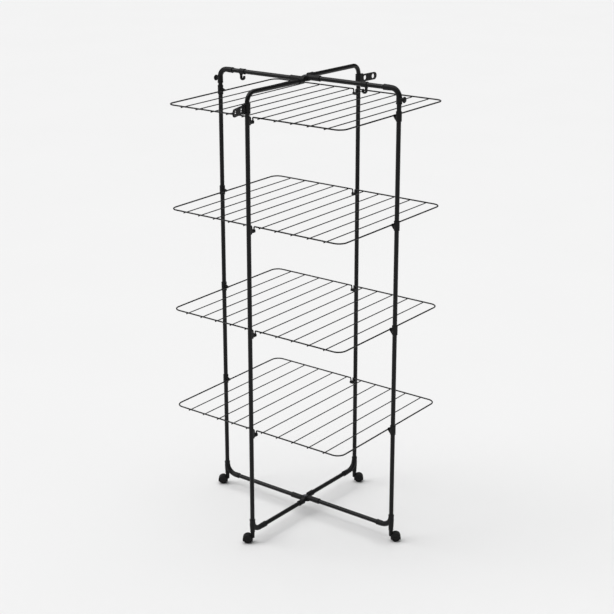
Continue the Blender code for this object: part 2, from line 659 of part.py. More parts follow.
def make_clip(name, side, height, upright, plastic):
    """Collar on a post of the wide frame with a nose under (or over) the shelf's rim."""
    rod_out = WIDE_HALF - SHELF_HALF_X
    wall = rod_out - RIM_R - CLIP_SIDE_GAP
    lip = rod_out + RIM_R + CLIP_SIDE_GAP
    seat = -RIM_R - FIT
    root = CLIP_COLLAR_R - 0.0012
    outline = [(root, CLIP_BACK_RISE), (wall, CLIP_BACK_TIP), (wall, seat), (lip, seat),
               (lip, CLIP_LIP_TOP), (lip + CLIP_LIP_T, CLIP_LIP_TOP), (lip + CLIP_LIP_T, -CLIP_NOSE_T),
               (CLIP_COLLAR_R, -CLIP_GUSSET_DROP[side]), (root, -CLIP_GUSSET_DROP[side])]
    nose = plate_mesh(outline, CLIP_HALF_W)
    low = -CLIP_COLLAR_DROP
    high = low + 2 * CLIP_COLLAR_HALF
    collar = rod_mesh([Vector((0, 0, low)), Vector((0, 0, high))], CLIP_COLLAR_R)
    bore = rod_mesh([Vector((0, 0, low - FIT)), Vector((0, 0, high + FIT))], BORE_R)
    place = at_post(side, rim_height(side, height))
    if not upright:
        place = place @ Matrix.Rotation(math.radians(180), 4, "X")
    fuse(name, [collar, nose], [bore], plastic, place)


# ================================================================ castors
def castor_place(side):
    """Place of a castor on its swivel axis: local +X is the trailing direction."""
    turn = CASTOR_TURN if side in ("rear", "right") else CASTOR_TURN + math.pi
    return Matrix.Translation(POSTS[side]) @ Matrix.Rotation(turn, 4, "Z")


def drum(centre, half, radius, sides):
    """A short cylinder across the castor, along its axle."""
    return rod_mesh([centre + Vector((0, -half, 0)), centre + Vector((0, half, 0))], radius, sides)


def make_castor(side, plastic):
    """Swivelling body: stem, boss, hood over both wheels and the web that holds the axle."""
    axle = Vector((CASTOR_TRAIL, 0, WHEEL_R))
    half = WHEEL_INNER_GAP / 2 + WHEEL_T + FIT * 2
    hood = drum(axle, half + HOOD_WALL, HOOD_R, 16)
    below = box_mesh((-0.05, -0.05, -0.05), (0.09, 0.05, HOOD_LOW))
    hood_top = STUB_BOTTOM_Z - FIT
    boss = rod_mesh([Vector((0, 0, WHEEL_R + 0.004)), Vector((0, 0, hood_top))], SWIVEL_BOSS_R)
    stem = rod_mesh([Vector((0, 0, hood_top - 0.005)), Vector((0, 0, hood_top + STEM_LENGTH))], STEM_R)
    cuts = [below]
    pocket_half = (half - WEB_T / 2) / 2
    for sign in (-1, 1):
        middle = axle + Vector((0, sign * (WEB_T / 2 + pocket_half), 0))
        cuts.append(drum(middle, pocket_half, WHEEL_R + 0.001, 16))
        face = axle + Vector((0, sign * (half + HOOD_WALL), -WHEEL_R * 0.45))
        cuts.append(drum(face, HOOD_WALL * 1.5, WHEEL_R * 0.86, 16))
    cuts.append(drum(axle, 0.01, AXLE_R + FIT, 8))
    fuse(side + "_castor_body", [hood, boss, stem], cuts, plastic, castor_place(side))


def make_wheels(side, rubber):
    """Both wheels of a castor on their common spindle."""
    solids = [drum(Vector((0, 0, 0)), WHEEL_INNER_GAP / 2 + WHEEL_T / 2, AXLE_R, 8)]
    for sign in (-1, 1):
        middle = Vector((0, sign * (WHEEL_INNER_GAP / 2 + WHEEL_T / 2), 0))
        solids.append(drum(middle, WHEEL_T / 2, WHEEL_R / math.cos(math.pi / WHEEL_SIDES), WHEEL_SIDES))
    place = castor_place(side) @ Matrix.Translation((CASTOR_TRAIL, 0, WHEEL_R))
    fuse(side + "_castor_wheels", solids, [], rubber, place)


# ================================================================ whole airer
def main():
    """Build every piece in its place."""
    clear_scene()
    paint = make_material("black_powder_coat", (0.012, 0.012, 0.013), 0.38)
    plastic = make_material("black_moulded_plastic", (0.016, 0.016, 0.017), 0.55)
    steel = make_material("dark_steel", (0.05, 0.05, 0.05), 0.35, 1.0)
    rubber = make_material("black_wheel_plastic", (0.01, 0.01, 0.01), 0.6)
    make_narrow_frame(paint)
    make_wide_frame(paint)
    for name, mean in (("top_hub", TOP_RAIL_Z), ("bottom_hub", BOTTOM_RAIL_Z)):
        make_hub(name + "_upper", mean, "front", "rear", HUB_ARM_NARROW, FIT / 2, plastic)
        make_hub(name + "_lower", mean, "left", "right", HUB_ARM_WIDE, -FIT / 2 - HUB_DISC_T, plastic)
        make_hub_pin(name + "_pin", mean, steel)
    for side in ("left", "right"):
        make_elbow(side, plastic)
        make_knob(side, plastic)
        make_rail_hook(side, plastic)
    for side, turn in (("front", FRONT_HOLDER_TURN), ("rear", REAR_HOLDER_TURN)):
        make_hanger_clamp(side, plastic)
        make_hanger_holder(side, turn, plastic)
        make_hanger_pin(side, turn, steel)
    for side in POSTS:
        arm = FOOT_ARM_NARROW if side in ("front", "rear") else FOOT_ARM_WIDE
        make_foot(side, arm, plastic)
        make_castor(side, plastic)
        make_wheels(side, rubber)
    top_shelf_z = TOP_RAIL_Z - SHELF_BELOW_RAIL
    pitch = (top_shelf_z - LOWEST_SHELF_Z) / (SHELF_COUNT - 1)
    for index in range(SHELF_COUNT):
        height = top_shelf_z - index * pitch
        shelf = "shelf_" + str(index + 1)
        make_shelf(shelf, height, paint)
        for side in ("front", "rear"):
            make_saddle(shelf + "_" + side + "_saddle", side, height, plastic)
        make_clip(shelf + "_left_clip", "left", height, False, plastic)
        make_clip(shelf + "_right_clip", "right", height, True, plastic)


main()
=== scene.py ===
"""Looks of a tower clothes airer: powder coated tubes and wire shelves, moulded plastic fittings, castors.

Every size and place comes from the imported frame's boxes and joints, in metres.
"""

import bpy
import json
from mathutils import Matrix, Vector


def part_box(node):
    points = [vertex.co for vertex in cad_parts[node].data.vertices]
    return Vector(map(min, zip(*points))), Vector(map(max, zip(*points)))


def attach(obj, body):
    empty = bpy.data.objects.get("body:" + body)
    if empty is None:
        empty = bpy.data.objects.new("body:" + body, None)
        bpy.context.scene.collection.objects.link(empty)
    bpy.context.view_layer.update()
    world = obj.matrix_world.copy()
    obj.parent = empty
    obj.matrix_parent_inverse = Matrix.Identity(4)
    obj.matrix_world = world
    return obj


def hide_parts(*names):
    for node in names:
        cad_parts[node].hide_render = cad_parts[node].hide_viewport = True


bl_info = {
    "name": "Tower Clothes Airer",
    "version": (1, 0, 0),
    "blender": (4, 5, 0),
    "location": "3D View > Sidebar > Airer",
    "description": "Builds the visible pieces, materials and stage of a tower clothes airer",
    "category": "Object",
}

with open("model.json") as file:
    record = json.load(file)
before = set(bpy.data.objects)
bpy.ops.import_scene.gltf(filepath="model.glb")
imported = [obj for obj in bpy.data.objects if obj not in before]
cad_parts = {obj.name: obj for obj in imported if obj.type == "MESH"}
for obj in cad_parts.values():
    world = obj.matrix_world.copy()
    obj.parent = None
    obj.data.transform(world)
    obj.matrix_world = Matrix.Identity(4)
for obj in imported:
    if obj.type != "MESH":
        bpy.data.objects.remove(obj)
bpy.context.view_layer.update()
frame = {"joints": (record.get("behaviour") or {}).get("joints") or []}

import json
import math

import bmesh
import bpy
import numpy as np
from mathutils import Vector

JOINTS = {joint["name"]: joint for joint in frame["joints"]}
SIDES = ("front", "rear", "left", "right")
NARROW = ("front", "rear")
WIDE = ("left", "right")
SHELVES = ("shelf_1", "shelf_2", "shelf_3", "shelf_4")
LOOP_DROP = 0.010         # rim's axis to the centre of its hanging loops, which is the tilting axis
LOOP_R = 0.005            # bend of a hanging loop
SHOULDER_R = 0.004        # bend from the loop into the rim
SHELF_CORNER_R = 0.03
WIRE_COUNT = 10
WIRE_POKE = 0.004         # how far a wire runs past the rim's axis
WIRE_SINK = 0.0006        # how far a wire is welded into the rim
POST_BEND_R = 0.033
ELBOW_BEND_R = 0.03
FOOT_BEND_R = 0.04
SLEEVE = 0.019            # straight sleeve behind a moulded mouth
NECK_EASE = 0.008         # length over which a moulding slims behind its sleeve
SKIN_GAP = 0.0001         # tube's surface to the bore of what is clamped on it
SEAT_GAP = 0.0002         # shelf's rod to the seat under it
SADDLE_GAP = 0.0005       # shelf's rod to either side of a saddle's channel
SADDLE_HALF_W = 0.0065
PAD_HALF_W = 0.007
PAD_T = 0.0032
CLIP_GAP = 0.0003         # shelf's rod to either side of a clip's channel
CLIP_HALF_W = 0.005
CLIP_COLLAR_T = 0.0021
KNOB_SHANK = 0.0045       # part of a knob inside its boss
BEAD_UP = 0.0004          # how far a mouth's bead stands up
BEAD_EDGE = 0.0006
HOOK_WIRE_R = 0.0036
HOOK_BROADER = 1.5        # a hook is this much broader than it is thick
HOOK_BEND_R = 0.0068
HOOK_LIP = 0.006
LUG_R = 0.0065
LUG_T = 0.0028
HOLE_R = 0.0085
HOLE_FROM_PIN = (0.019, 0.066)
PLATE_REACH = 0.086
PLATE_T = 0.0045
BARREL_R = 0.0048
GUSSET_DROP = {"left": 0.008, "right": 0.016}
HOOD_R = 0.018
HOOD_LOW = 0.0095         # height of the hood's lower edge
HOOD_WALL = 0.0018
CHEEK_OUT = 0.01365       # middle of a castor to a cheek's outer face
CHEEK_R = 0.0129          # circle of a cheek's lower edge
CHEEK_DROP = 0.00675      # axle to that circle's centre
WEB_R = 0.0174
WEB_T = 0.0035
WHEEL_GAP = 0.0055
WHEEL_T = 0.0085
TREAD_EDGE = 0.0014
FLOOR_Z = -0.0002
FLOOR_RADIUS = 60.0
SHARP_ANGLE = 35          # edges bent more than this many degrees are shaded sharp
BACKDROP = "#EFEFEF"
AIR_LIGHT = 0.12
TOP_SUN = 2.35
KEY_SUN = 1.35
CAMERA_PLACE = (2.9245, -3.7334, 2.3858)
CAMERA_TURN = 37.963      # degrees round the upright axis from looking along +Y
CAMERA_LOOK = 17.327      # degrees below level
CAMERA_LENS = 83.04
CAMERA_SHIFT = (-0.002, -0.05)


# ---------------- places read from the frame
UP = np.array((0.0, 0.0, 1.0))
LYING = np.eye(3)                # outline in, across; thickness up
STANDING = np.eye(3)[[0, 2, 1]]  # outline in, up; thickness across


def corners(node):
    """Lowest and highest corner of a node's box, as arrays."""
    low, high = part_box(node)
    return np.array(low), np.array(high)


def middle(node):
    """Middle of a node's box."""
    low, high = corners(node)
    return (low + high) / 2


def joint_place(name):
    """A joint's position."""
    return np.array(JOINTS[name]["pos_m"], float)


def joint_axis(name):
    """A joint's unit axis."""
    axis = np.array(JOINTS[name]["axis"], float)
    return axis / np.linalg.norm(axis)


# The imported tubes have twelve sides, so their box across is cos(15 degrees) of their width or more.
TUBE_R = round((corners("left_post")[1][0] - corners("left_post")[0][0]) / 2, 4)
POST = {side: joint_place(side + "_castor_swivel") * (1, 1, 0) for side in SIDES}
INWARD = {side: -POST[side] / np.linalg.norm(POST[side]) for side in SIDES}
FOOT_RAIL_Z = {side: middle(side + "_bottom_rail")[2] for side in SIDES}
TOP_RAIL_Z = {side: middle(side + "_top_rail")[2] for side in WIDE}
TOP_RAIL_Z.update({side: corners(side + "_post_and_top_rail")[1][2] - TUBE_R for side in NARROW})


def along(node, side, nearest):
    """Distance from a post's axis, inward, to a node's nearest or furthest end."""
    low, high = corners(node)
    k = int(np.argmax(np.abs(INWARD[side])))
    ends = sorted((np.array((low[k], high[k])) - POST[side][k]) / INWARD[side][k])
    return ends[0] if nearest else ends[1]


def hub_reach(node, side):
    """Distance from the upright axis to a hub half's end on one side."""
    low, high = corners(node)
    k = int(np.argmax(np.abs(INWARD[side])))
    return max(-low[k] / INWARD[side][k], -high[k] / INWARD[side][k])


def at_post(points, side, height):
    """Points given as (inward, across, up) from a post's axis at a height, in world coordinates."""
    points = np.asarray(points, float)
    across = np.cross(UP, INWARD[side])
    return (POST[side] + UP * height + points[..., :1] * INWARD[side] + points[..., 1:2] * across
            + points[..., 2:3] * UP)


def shelf_axes(shelf):
    """A shelf's middle, and its directions across the wires, along the wires and up.

    The tilting axis gives the shelf's lean; the shelf's plane is LOOP_DROP above that axis.
    """
    axis = joint_axis(shelf + "_tilt")
    lean = math.atan2(-axis[2], -axis[1])
    way = np.array((0.0, math.cos(lean), math.sin(lean)))
    up = np.array((0.0, -math.sin(lean), math.cos(lean)))
    return joint_place(shelf + "_tilt") + LOOP_DROP * up, np.array((1.0, 0.0, 0.0)), way, up


# ---------------- sizes and colours a user may change
class AirerSizes(bpy.types.PropertyGroup):
    """Sizes of the moulded details and the roundness of the surfaces."""

    around: bpy.props.IntProperty(
        name="Sides", description="Corners round a tube or a moulding", default=40, min=12, max=96)
    socket_wall: bpy.props.FloatProperty(
        name="Socket wall", description="Wall of a moulded socket over its tube",
        default=0.0025, min=0.001, max=0.004, unit="LENGTH")
    bead: bpy.props.FloatProperty(
        name="Mouth bead", description="Width of the raised lip at the mouth of a socket",
        default=0.0035, min=0.001, max=0.008, unit="LENGTH")
    edge: bpy.props.FloatProperty(
        name="Edge round", description="Rounding of moulded edges",
        default=0.0006, min=0.0001, max=0.002, unit="LENGTH")
    rim_r: bpy.props.FloatProperty(
        name="Rim rod radius", description="Radius of a shelf's rim rod",
        default=0.0025, min=0.001, max=0.004, unit="LENGTH")
    wire_r: bpy.props.FloatProperty(
        name="Wire radius", description="Radius of a shelf's wires",
        default=0.0018, min=0.0008, max=0.003, unit="LENGTH")


class AirerColours(bpy.types.PropertyGroup):
    """Colours of the finishes, as sRGB hex values."""

    powder: bpy.props.StringProperty(
        name="Powder coat", description="Satin black powder coat on the steel", default="#0F0F10")
    polypropylene: bpy.props.StringProperty(
        name="Polypropylene", description="Moulded black fittings", default="#121213")
    zinc: bpy.props.StringProperty(
        name="Black zinc", description="Blackened zinc plate on the pins", default="#4A4A4D")
    nylon: bpy.props.StringProperty(
        name="Nylon", description="Moulded black wheels", default="#101011")
    paper: bpy.props.StringProperty(
        name="Floor", description="Pale studio floor", default="#E7E7E7")


# ---------------- surfaces
def line(start, end, count=2):
    """Points evenly spaced from start to end: start + t * (end - start), t from 0 to 1."""
    t = np.linspace(0.0, 1.0, count)[:, None]
    return np.asarray(start, float) + t * (np.asarray(end, float) - np.asarray(start, float))


def bend(centre, first, second, start, end, count=13):
    """Arc points: centre + cos(a) * first + sin(a) * second, a from start to end in degrees."""
    a = np.radians(np.linspace(start, end, count))[:, None]
    return np.asarray(centre, float) + np.cos(a) * np.asarray(first) + np.sin(a) * np.asarray(second)


def arc(centre, radius, start, end, count):
    """Flat arc about (a, b): (a + radius * cos v, b + radius * sin v), v from start to end in degrees."""
    v = np.radians(np.linspace(start, end, count))
    return np.stack((centre[0] + radius * np.cos(v), centre[1] + radius * np.sin(v)), -1)


def eased(t):
    """Smooth step: 3 t^2 - 2 t^3, with t kept from 0 to 1."""
    t = np.clip(t, 0.0, 1.0)
    return t * t * (3 - 2 * t)


def joined(*runs):
    """One path from several runs of points, with points that fall on their neighbour left out."""
    points = np.vstack(runs)
    step = np.linalg.norm(np.diff(points, axis=0), axis=1)
    return points[np.concatenate(([True], step > 1e-6))]


def walked(points):
    """Distance walked along a path up to each point."""
    return np.concatenate(([0.0], np.cumsum(np.linalg.norm(np.diff(points, axis=0), axis=1))))


def dense(points, edge, step, marks=()):
    """The path sampled every step, closer within edge of both ends, and at marks' distances from them."""
    s = walked(points)
    near = np.concatenate((edge * np.array([0.0, 0.12, 0.3, 0.55, 0.8, 1.0]), np.asarray(marks, float)))
    inner = np.linspace(edge, s[-1] - edge, max(3, int((s[-1] - 2 * edge) / step) + 1))
    at = np.unique(np.concatenate((near, inner, s[-1] - near)))
    at = at[np.concatenate(([True], np.diff(at) > 2e-5))]
    at[-1] = s[-1]
    return np.stack([np.interp(at, s, points[:, k]) for k in range(3)], axis=1)


def from_ends(points):
    """Distance from each point to the nearer end of its path."""
    s = walked(points)
    return np.minimum(s, s[-1] - s)


def rounded_off(points, radius, edge):
    """Radius that falls by edge over the last stretch in a quarter circle: r - e + sqrt(e^2 - (e - d)^2)."""
    short = edge - np.clip(from_ends(points), 0.0, edge)
    return radius - edge + np.sqrt(np.maximum(edge ** 2 - short ** 2, 0.0))


def round_outline(radius, count):
    """Circle of the given radius at each point of a path: (r cos v, r sin v)."""
    v = np.linspace(0.0, 2 * np.pi, count, endpoint=False)
    radius = np.atleast_1d(radius)[:, None]
    return np.stack((radius * np.cos(v), radius * np.sin(v)), axis=-1)


def squared_outline(half_a, half_b, power, count):
    """Rounded box outline: a superellipse, half * sign(c) * |c|^(2/p) with c the cosine or sine of v."""
    v = np.linspace(0.0, 2 * np.pi, count, endpoint=False)
    half_a = np.atleast_1d(half_a)[:, None]
    half_b = np.atleast_1d(half_b)[:, None]
    c = np.sign(np.cos(v)) * np.abs(np.cos(v)) ** (2 / power)
    s = np.sign(np.sin(v)) * np.abs(np.sin(v)) ** (2 / power)
    return np.stack((half_a * c, half_b * s), axis=-1)


def carried(points, side, outline, closed=False):
    """Surface of an outline carried along a path.

    First axis: side less its part along the path's direction, made unit length.  Second axis: direction
    cross first.  Point (i, j) is path point i + outline a * first + outline b * second.
    """
    if closed:
        way = np.roll(points, -1, axis=0) - np.roll(points, 1, axis=0)
    else:
        way = np.gradient(points, axis=0)
    way /= np.linalg.norm(way, axis=1, keepdims=True)
    first = np.broadcast_to(np.asarray(side, float), points.shape)
    first = first - way * np.sum(first * way, axis=1, keepdims=True)
    first /= np.linalg.norm(first, axis=1, keepdims=True)
    second = np.cross(way, first)
    return points[:, None, :] + outline[..., :1] * first[:, None, :] + outline[..., 1:] * second[:, None, :]


def turned(centre, axis, profile, count):
    """Profile of (radius, height) turned about an axis.

    Point (i, j) = centre + height i * axis + radius i * (cos v * side + sin v * (axis cross side)).
    """
    axis = np.asarray(axis, float) / np.linalg.norm(axis)
    side = np.cross(axis, (1.0, 0.0, 0.0) if abs(axis[0]) < 0.8 else (0.0, 1.0, 0.0))
    side /= np.linalg.norm(side)
    other = np.cross(axis, side)
    v = np.linspace(0.0, 2 * np.pi, count, endpoint=False)
    spread = np.cos(v)[:, None] * side + np.sin(v)[:, None] * other
    profile = np.asarray(profile, float)
    radius, level = profile[:, 0, None, None], profile[:, 1, None, None]
    return np.asarray(centre, float) + level * axis + radius * spread


def grid_faces(rows, count, closed):
    """Quads of a grid that wraps in its second direction, and in its first if closed."""
    i = np.arange(rows if closed else rows - 1)[:, None]
    j = np.arange(count)[None, :]
    after_i = (i + 1) % rows
    after_j = (j + 1) % count
    quads = np.stack((i * count + j, i * count + after_j, after_i * count + after_j, after_i * count + j), -1)
    return quads.reshape(-1, 4)


def shell(grid, closed=False):
    """(points, quads, triangles) of a grid; an open one gets a pole point at the middle of both ends."""
    rows, count, _ = grid.shape
    points = grid.reshape(-1, 3)
    quads = grid_faces(rows, count, closed)
    if closed:
        return points, quads, np.zeros((0, 3), int)
    j = np.arange(count)
    after = (j + 1) % count
    low = np.full(count, len(points))
    last = (rows - 1) * count
    points = np.vstack((points, grid[0].mean(axis=0), grid[-1].mean(axis=0)))
    triangles = np.vstack((np.stack((low, after, j), -1), np.stack((low + 1, last + j, last + after), -1)))
    return points, quads, triangles


def piece(name, shells, slot, body, nodes):
    """One object from several closed shells, facing out, riding on a body in place of its nodes."""
    points = np.vstack([part[0] for part in shells])
    starts = np.cumsum([0] + [len(part[0]) for part in shells[:-1]])
    faces = []
    for part, start in zip(shells, starts):
        for block in part[1:]:
            faces += (np.asarray(block) + start).tolist()
    mesh = bpy.data.meshes.new(name)
    mesh.from_pydata(points, [], faces)
    mesh.validate()
    face_out(mesh)
    mesh.shade_smooth()
    mesh.set_sharp_from_angle(angle=math.radians(SHARP_ANGLE))
    item = bpy.data.objects.new(name, mesh)
    bpy.context.scene.collection.objects.link(item)
    mesh.materials.append(MATERIALS[slot])
    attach(item, body)
    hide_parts(*nodes)
    return item


def face_out(mesh):
    """Turn every shell's faces outwards."""
    work = bmesh.new()
    work.from_mesh(mesh)
    bmesh.ops.recalc_face_normals(work, faces=work.faces)
    work.to_mesh(mesh)
    work.free()


def slab(outline, axes, centre, half_width):
    """Flat outline of (a, b) points thickened both ways along the third axis, with whole faces as caps."""
    a, b, c = (np.asarray(axis, float) for axis in axes)
    flat = np.asarray(centre, float) + outline[:, :1] * a + outline[:, 1:] * b
    count = len(outline)
    points = np.vstack((flat - half_width * c, flat + half_width * c))
    j = np.arange(count)
    after = (j + 1) % count
    quads = np.stack((j, after, after + count, j + count), -1)
    caps = np.stack((j[::-1], j + count))
    return points, quads, caps


def soften(item, width):
    """Round the sharp edges of a piece."""
    bevel = item.modifiers.new("rounded edges", "BEVEL")
    bevel.width = width
    bevel.segments = 2
    bevel.limit_method = "ANGLE"
    bevel.angle_limit = math.radians(40)


def ring_profile(inner, outer, low, high, edge, lips=0.0, lip_width=0.003):
    """Closed section of a sleeve: out along the bottom, up the outside with a lip at each end, and back."""
    out = outer + lips
    bottom = arc((out - edge, low + edge), edge, -90, 0, 5)
    top = arc((out - edge, high - edge), edge, 0, 90, 5)
    waist = [(out, low + lip_width), (outer, low + lip_width + lips), (outer, high - lip_width - lips),
             (out, high - lip_width)] if lips else []
    return np.array([(inner, low), *bottom, *waist, *top, (inner, high)])


# ---------------- materials
def linear(hex_value):
    """Linear RGBA of an sRGB hex value: c / 12.92 below 0.04045, else ((c + 0.055) / 1.055) ^ 2.4."""
    c = np.array([int(hex_value[i:i + 2], 16) for i in (1, 3, 5)]) / 255
    rgb = np.where(c <= 0.04045, c / 12.92, ((c + 0.055) / 1.055) ** 2.4)
    return (*[float(v) for v in rgb], 1.0)


def add_node(tree, kind, settings=None, inputs=None):
    """Add a node, set its properties, and set or link its inputs; a link is given as an output socket."""
    node = tree.nodes.new(kind)
    for key, value in (settings or {}).items():
        setattr(node, key, value)
    for key, value in (inputs or {}).items():
        if isinstance(value, bpy.types.NodeSocket):
            tree.links.new(value, node.inputs[key])
        else:
            node.inputs[key].default_value = value
    return node


def grained(name, colour, lighter, roughness, grain, bump_height, specular, metallic=0.0, blotch=0.045):
    """A finish with a fine surface grain, slow shade changes and a roughness that varies with both."""
    material = bpy.data.materials.new(name)
    material.use_nodes = True
    tree = material.node_tree
    tree.nodes.clear()
    place = add_node(tree, "ShaderNodeTexCoord").outputs["Object"]
    fine = add_node(tree, "ShaderNodeTexNoise", {}, {
        "Vector": place, "Scale": 1.0 / grain, "Detail": 3.0, "Roughness": 0.6}).outputs["Fac"]
    slow = add_node(tree, "ShaderNodeTexNoise", {}, {
        "Vector": place, "Scale": 1.0 / blotch, "Detail": 2.0, "Roughness": 0.5}).outputs["Fac"]
    shade = add_node(tree, "ShaderNodeMath", {"operation": "MULTIPLY_ADD", "use_clamp": True}, {
        0: slow, 1: 1.6, 2: -0.3}).outputs[0]
    tint = add_node(tree, "ShaderNodeMix", {"data_type": "RGBA"}, {
        "Factor": shade, 6: linear(colour), 7: linear(lighter)}).outputs[2]
    both = add_node(tree, "ShaderNodeMath", {"operation": "ADD"}, {0: fine, 1: slow}).outputs[0]
    rough = add_node(tree, "ShaderNodeMapRange", {}, {
        "Value": both, "From Min": 0.6, "From Max": 1.4,
        "To Min": roughness - 0.07, "To Max": roughness + 0.07}).outputs["Result"]
    relief = add_node(tree, "ShaderNodeBump", {}, {
        "Strength": 0.6, "Distance": bump_height, "Height": fine}).outputs["Normal"]
    shader = add_node(tree, "ShaderNodeBsdfPrincipled", {}, {
        "Base Color": tint, "Roughness": rough, "Normal": relief, "Metallic": metallic})
    if metallic == 0.0:
        shader.inputs["Specular IOR Level"].default_value = specular
    add_node(tree, "ShaderNodeOutputMaterial", {}, {"Surface": shader.outputs["BSDF"]})
    return material


MATERIALS = {}


def make_materials(colours):
    """The four finishes of the airer."""
    # Polyester powder coat, sprayed and baked: satin black, with an orange peel of about 1 mm waves that
    # is drawn at 3 mm so that it shows.  The eye sees soft, slightly broken streaks of light along a tube.
    MATERIALS["powder_coat"] = grained(
        "polyester_powder_coat_black", colours.powder, "#161617", 0.32, 0.003, 0.00012, 0.18)
    # Polypropylene, injection moulded in a spark-eroded tool: matte black with a fine even grain of
    # 0.4 mm, drawn at 1.5 mm.  The eye sees a dull, slightly grey surface with no sharp reflection.
    MATERIALS["moulded_plastic"] = grained(
        "polypropylene_moulded_black", colours.polypropylene, "#19191A", 0.50, 0.0015, 0.00010, 0.18)
    # Steel pin, blackened zinc plate: dark metal with a faint cloudiness.
    MATERIALS["steel"] = grained(
        "zinc_plated_steel_black", colours.zinc, "#5A5A5E", 0.34, 0.002, 0.00004, 0.5, metallic=1.0)
    # Nylon, moulded: hard wheels, a little glossier than the fittings, with scuffs of about 2 mm.
    MATERIALS["wheel_plastic"] = grained(
        "nylon_moulded_black", colours.nylon, "#171718", 0.45, 0.002, 0.00015, 0.2, blotch=0.012)


# ---------------- pieces
def socket_radius(path, outer, neck, sizes):
    """Radius along a moulding: a bead at both mouths, a plain sleeve, and a slimmer neck between.

    The neck eases in over NECK_EASE past the sleeve, and each mouth is rounded off.
    """
    d = from_ends(path)
    ease = eased((d - SLEEVE) / NECK_EASE)
    lip = np.clip((sizes.bead - d) / BEAD_EDGE + 1.0, 0.0, 1.0)
    radius = outer - (outer - neck) * ease + BEAD_UP * lip
    return rounded_off(path, radius, sizes.edge)


def fitting(node, side, height, shells):
    """Moulded piece on the frames in place of a node, from shells in its post's own coordinates."""
    shells = [(at_post(part[0], side, height),) + part[1:] for part in shells]
    return piece(node + "_moulding", shells, "moulded_plastic", "frames", [node])


def sleeve_marks(sizes):
    """Distances from a mouth at which a moulding's radius changes."""
    return sizes.bead, sizes.bead + BEAD_EDGE, SLEEVE


class AIRER_OT_tubes(bpy.types.Operator):
    """Build the posts and rails of both frames"""

    bl_idname = "airer.tubes"
    bl_label = "Posts and Rails"

    def execute(self, context):
        """Every tube is a circle carried along its axis; the bent posts turn through a quarter circle."""
        sizes = context.scene.airer_sizes
        for side in NARROW:
            node = side + "_post_and_top_rail"
            height = TOP_RAIL_Z[side]
            r = POST_BEND_R
            path = joined(
                line((0, 0, corners(node)[0][2] - height), (0, 0, -r), 40),
                bend((r, 0, -r), (-r, 0, 0), (0, 0, r), 0, 90, 17),
                line((r, 0, 0), (along(node, side, False), 0, 0), 12))
            self.tube(node, at_post(path, side, height), np.cross(UP, INWARD[side]), sizes)
        for side in WIDE:
            low, high = corners(side + "_post")
            path = line((0, 0, low[2]), (0, 0, high[2]), 40)
            self.tube(side + "_post", at_post(path, side, 0.0), np.cross(UP, INWARD[side]), sizes)
        for side in SIDES:
            for node in [side + "_bottom_rail"] + ([side + "_top_rail"] if side in WIDE else []):
                path = line((along(node, side, True), 0, 0), (along(node, side, False), 0, 0), 12)
                self.tube(node, at_post(path, side, middle(node)[2]), UP, sizes)
        return {"FINISHED"}

    def tube(self, node, path, side, sizes):
        """One tube in place of its node."""
        grid = carried(path, side, round_outline(np.full(len(path), TUBE_R), sizes.around))
        piece(node + "_tube", [shell(grid)], "powder_coat", "frames", [node])


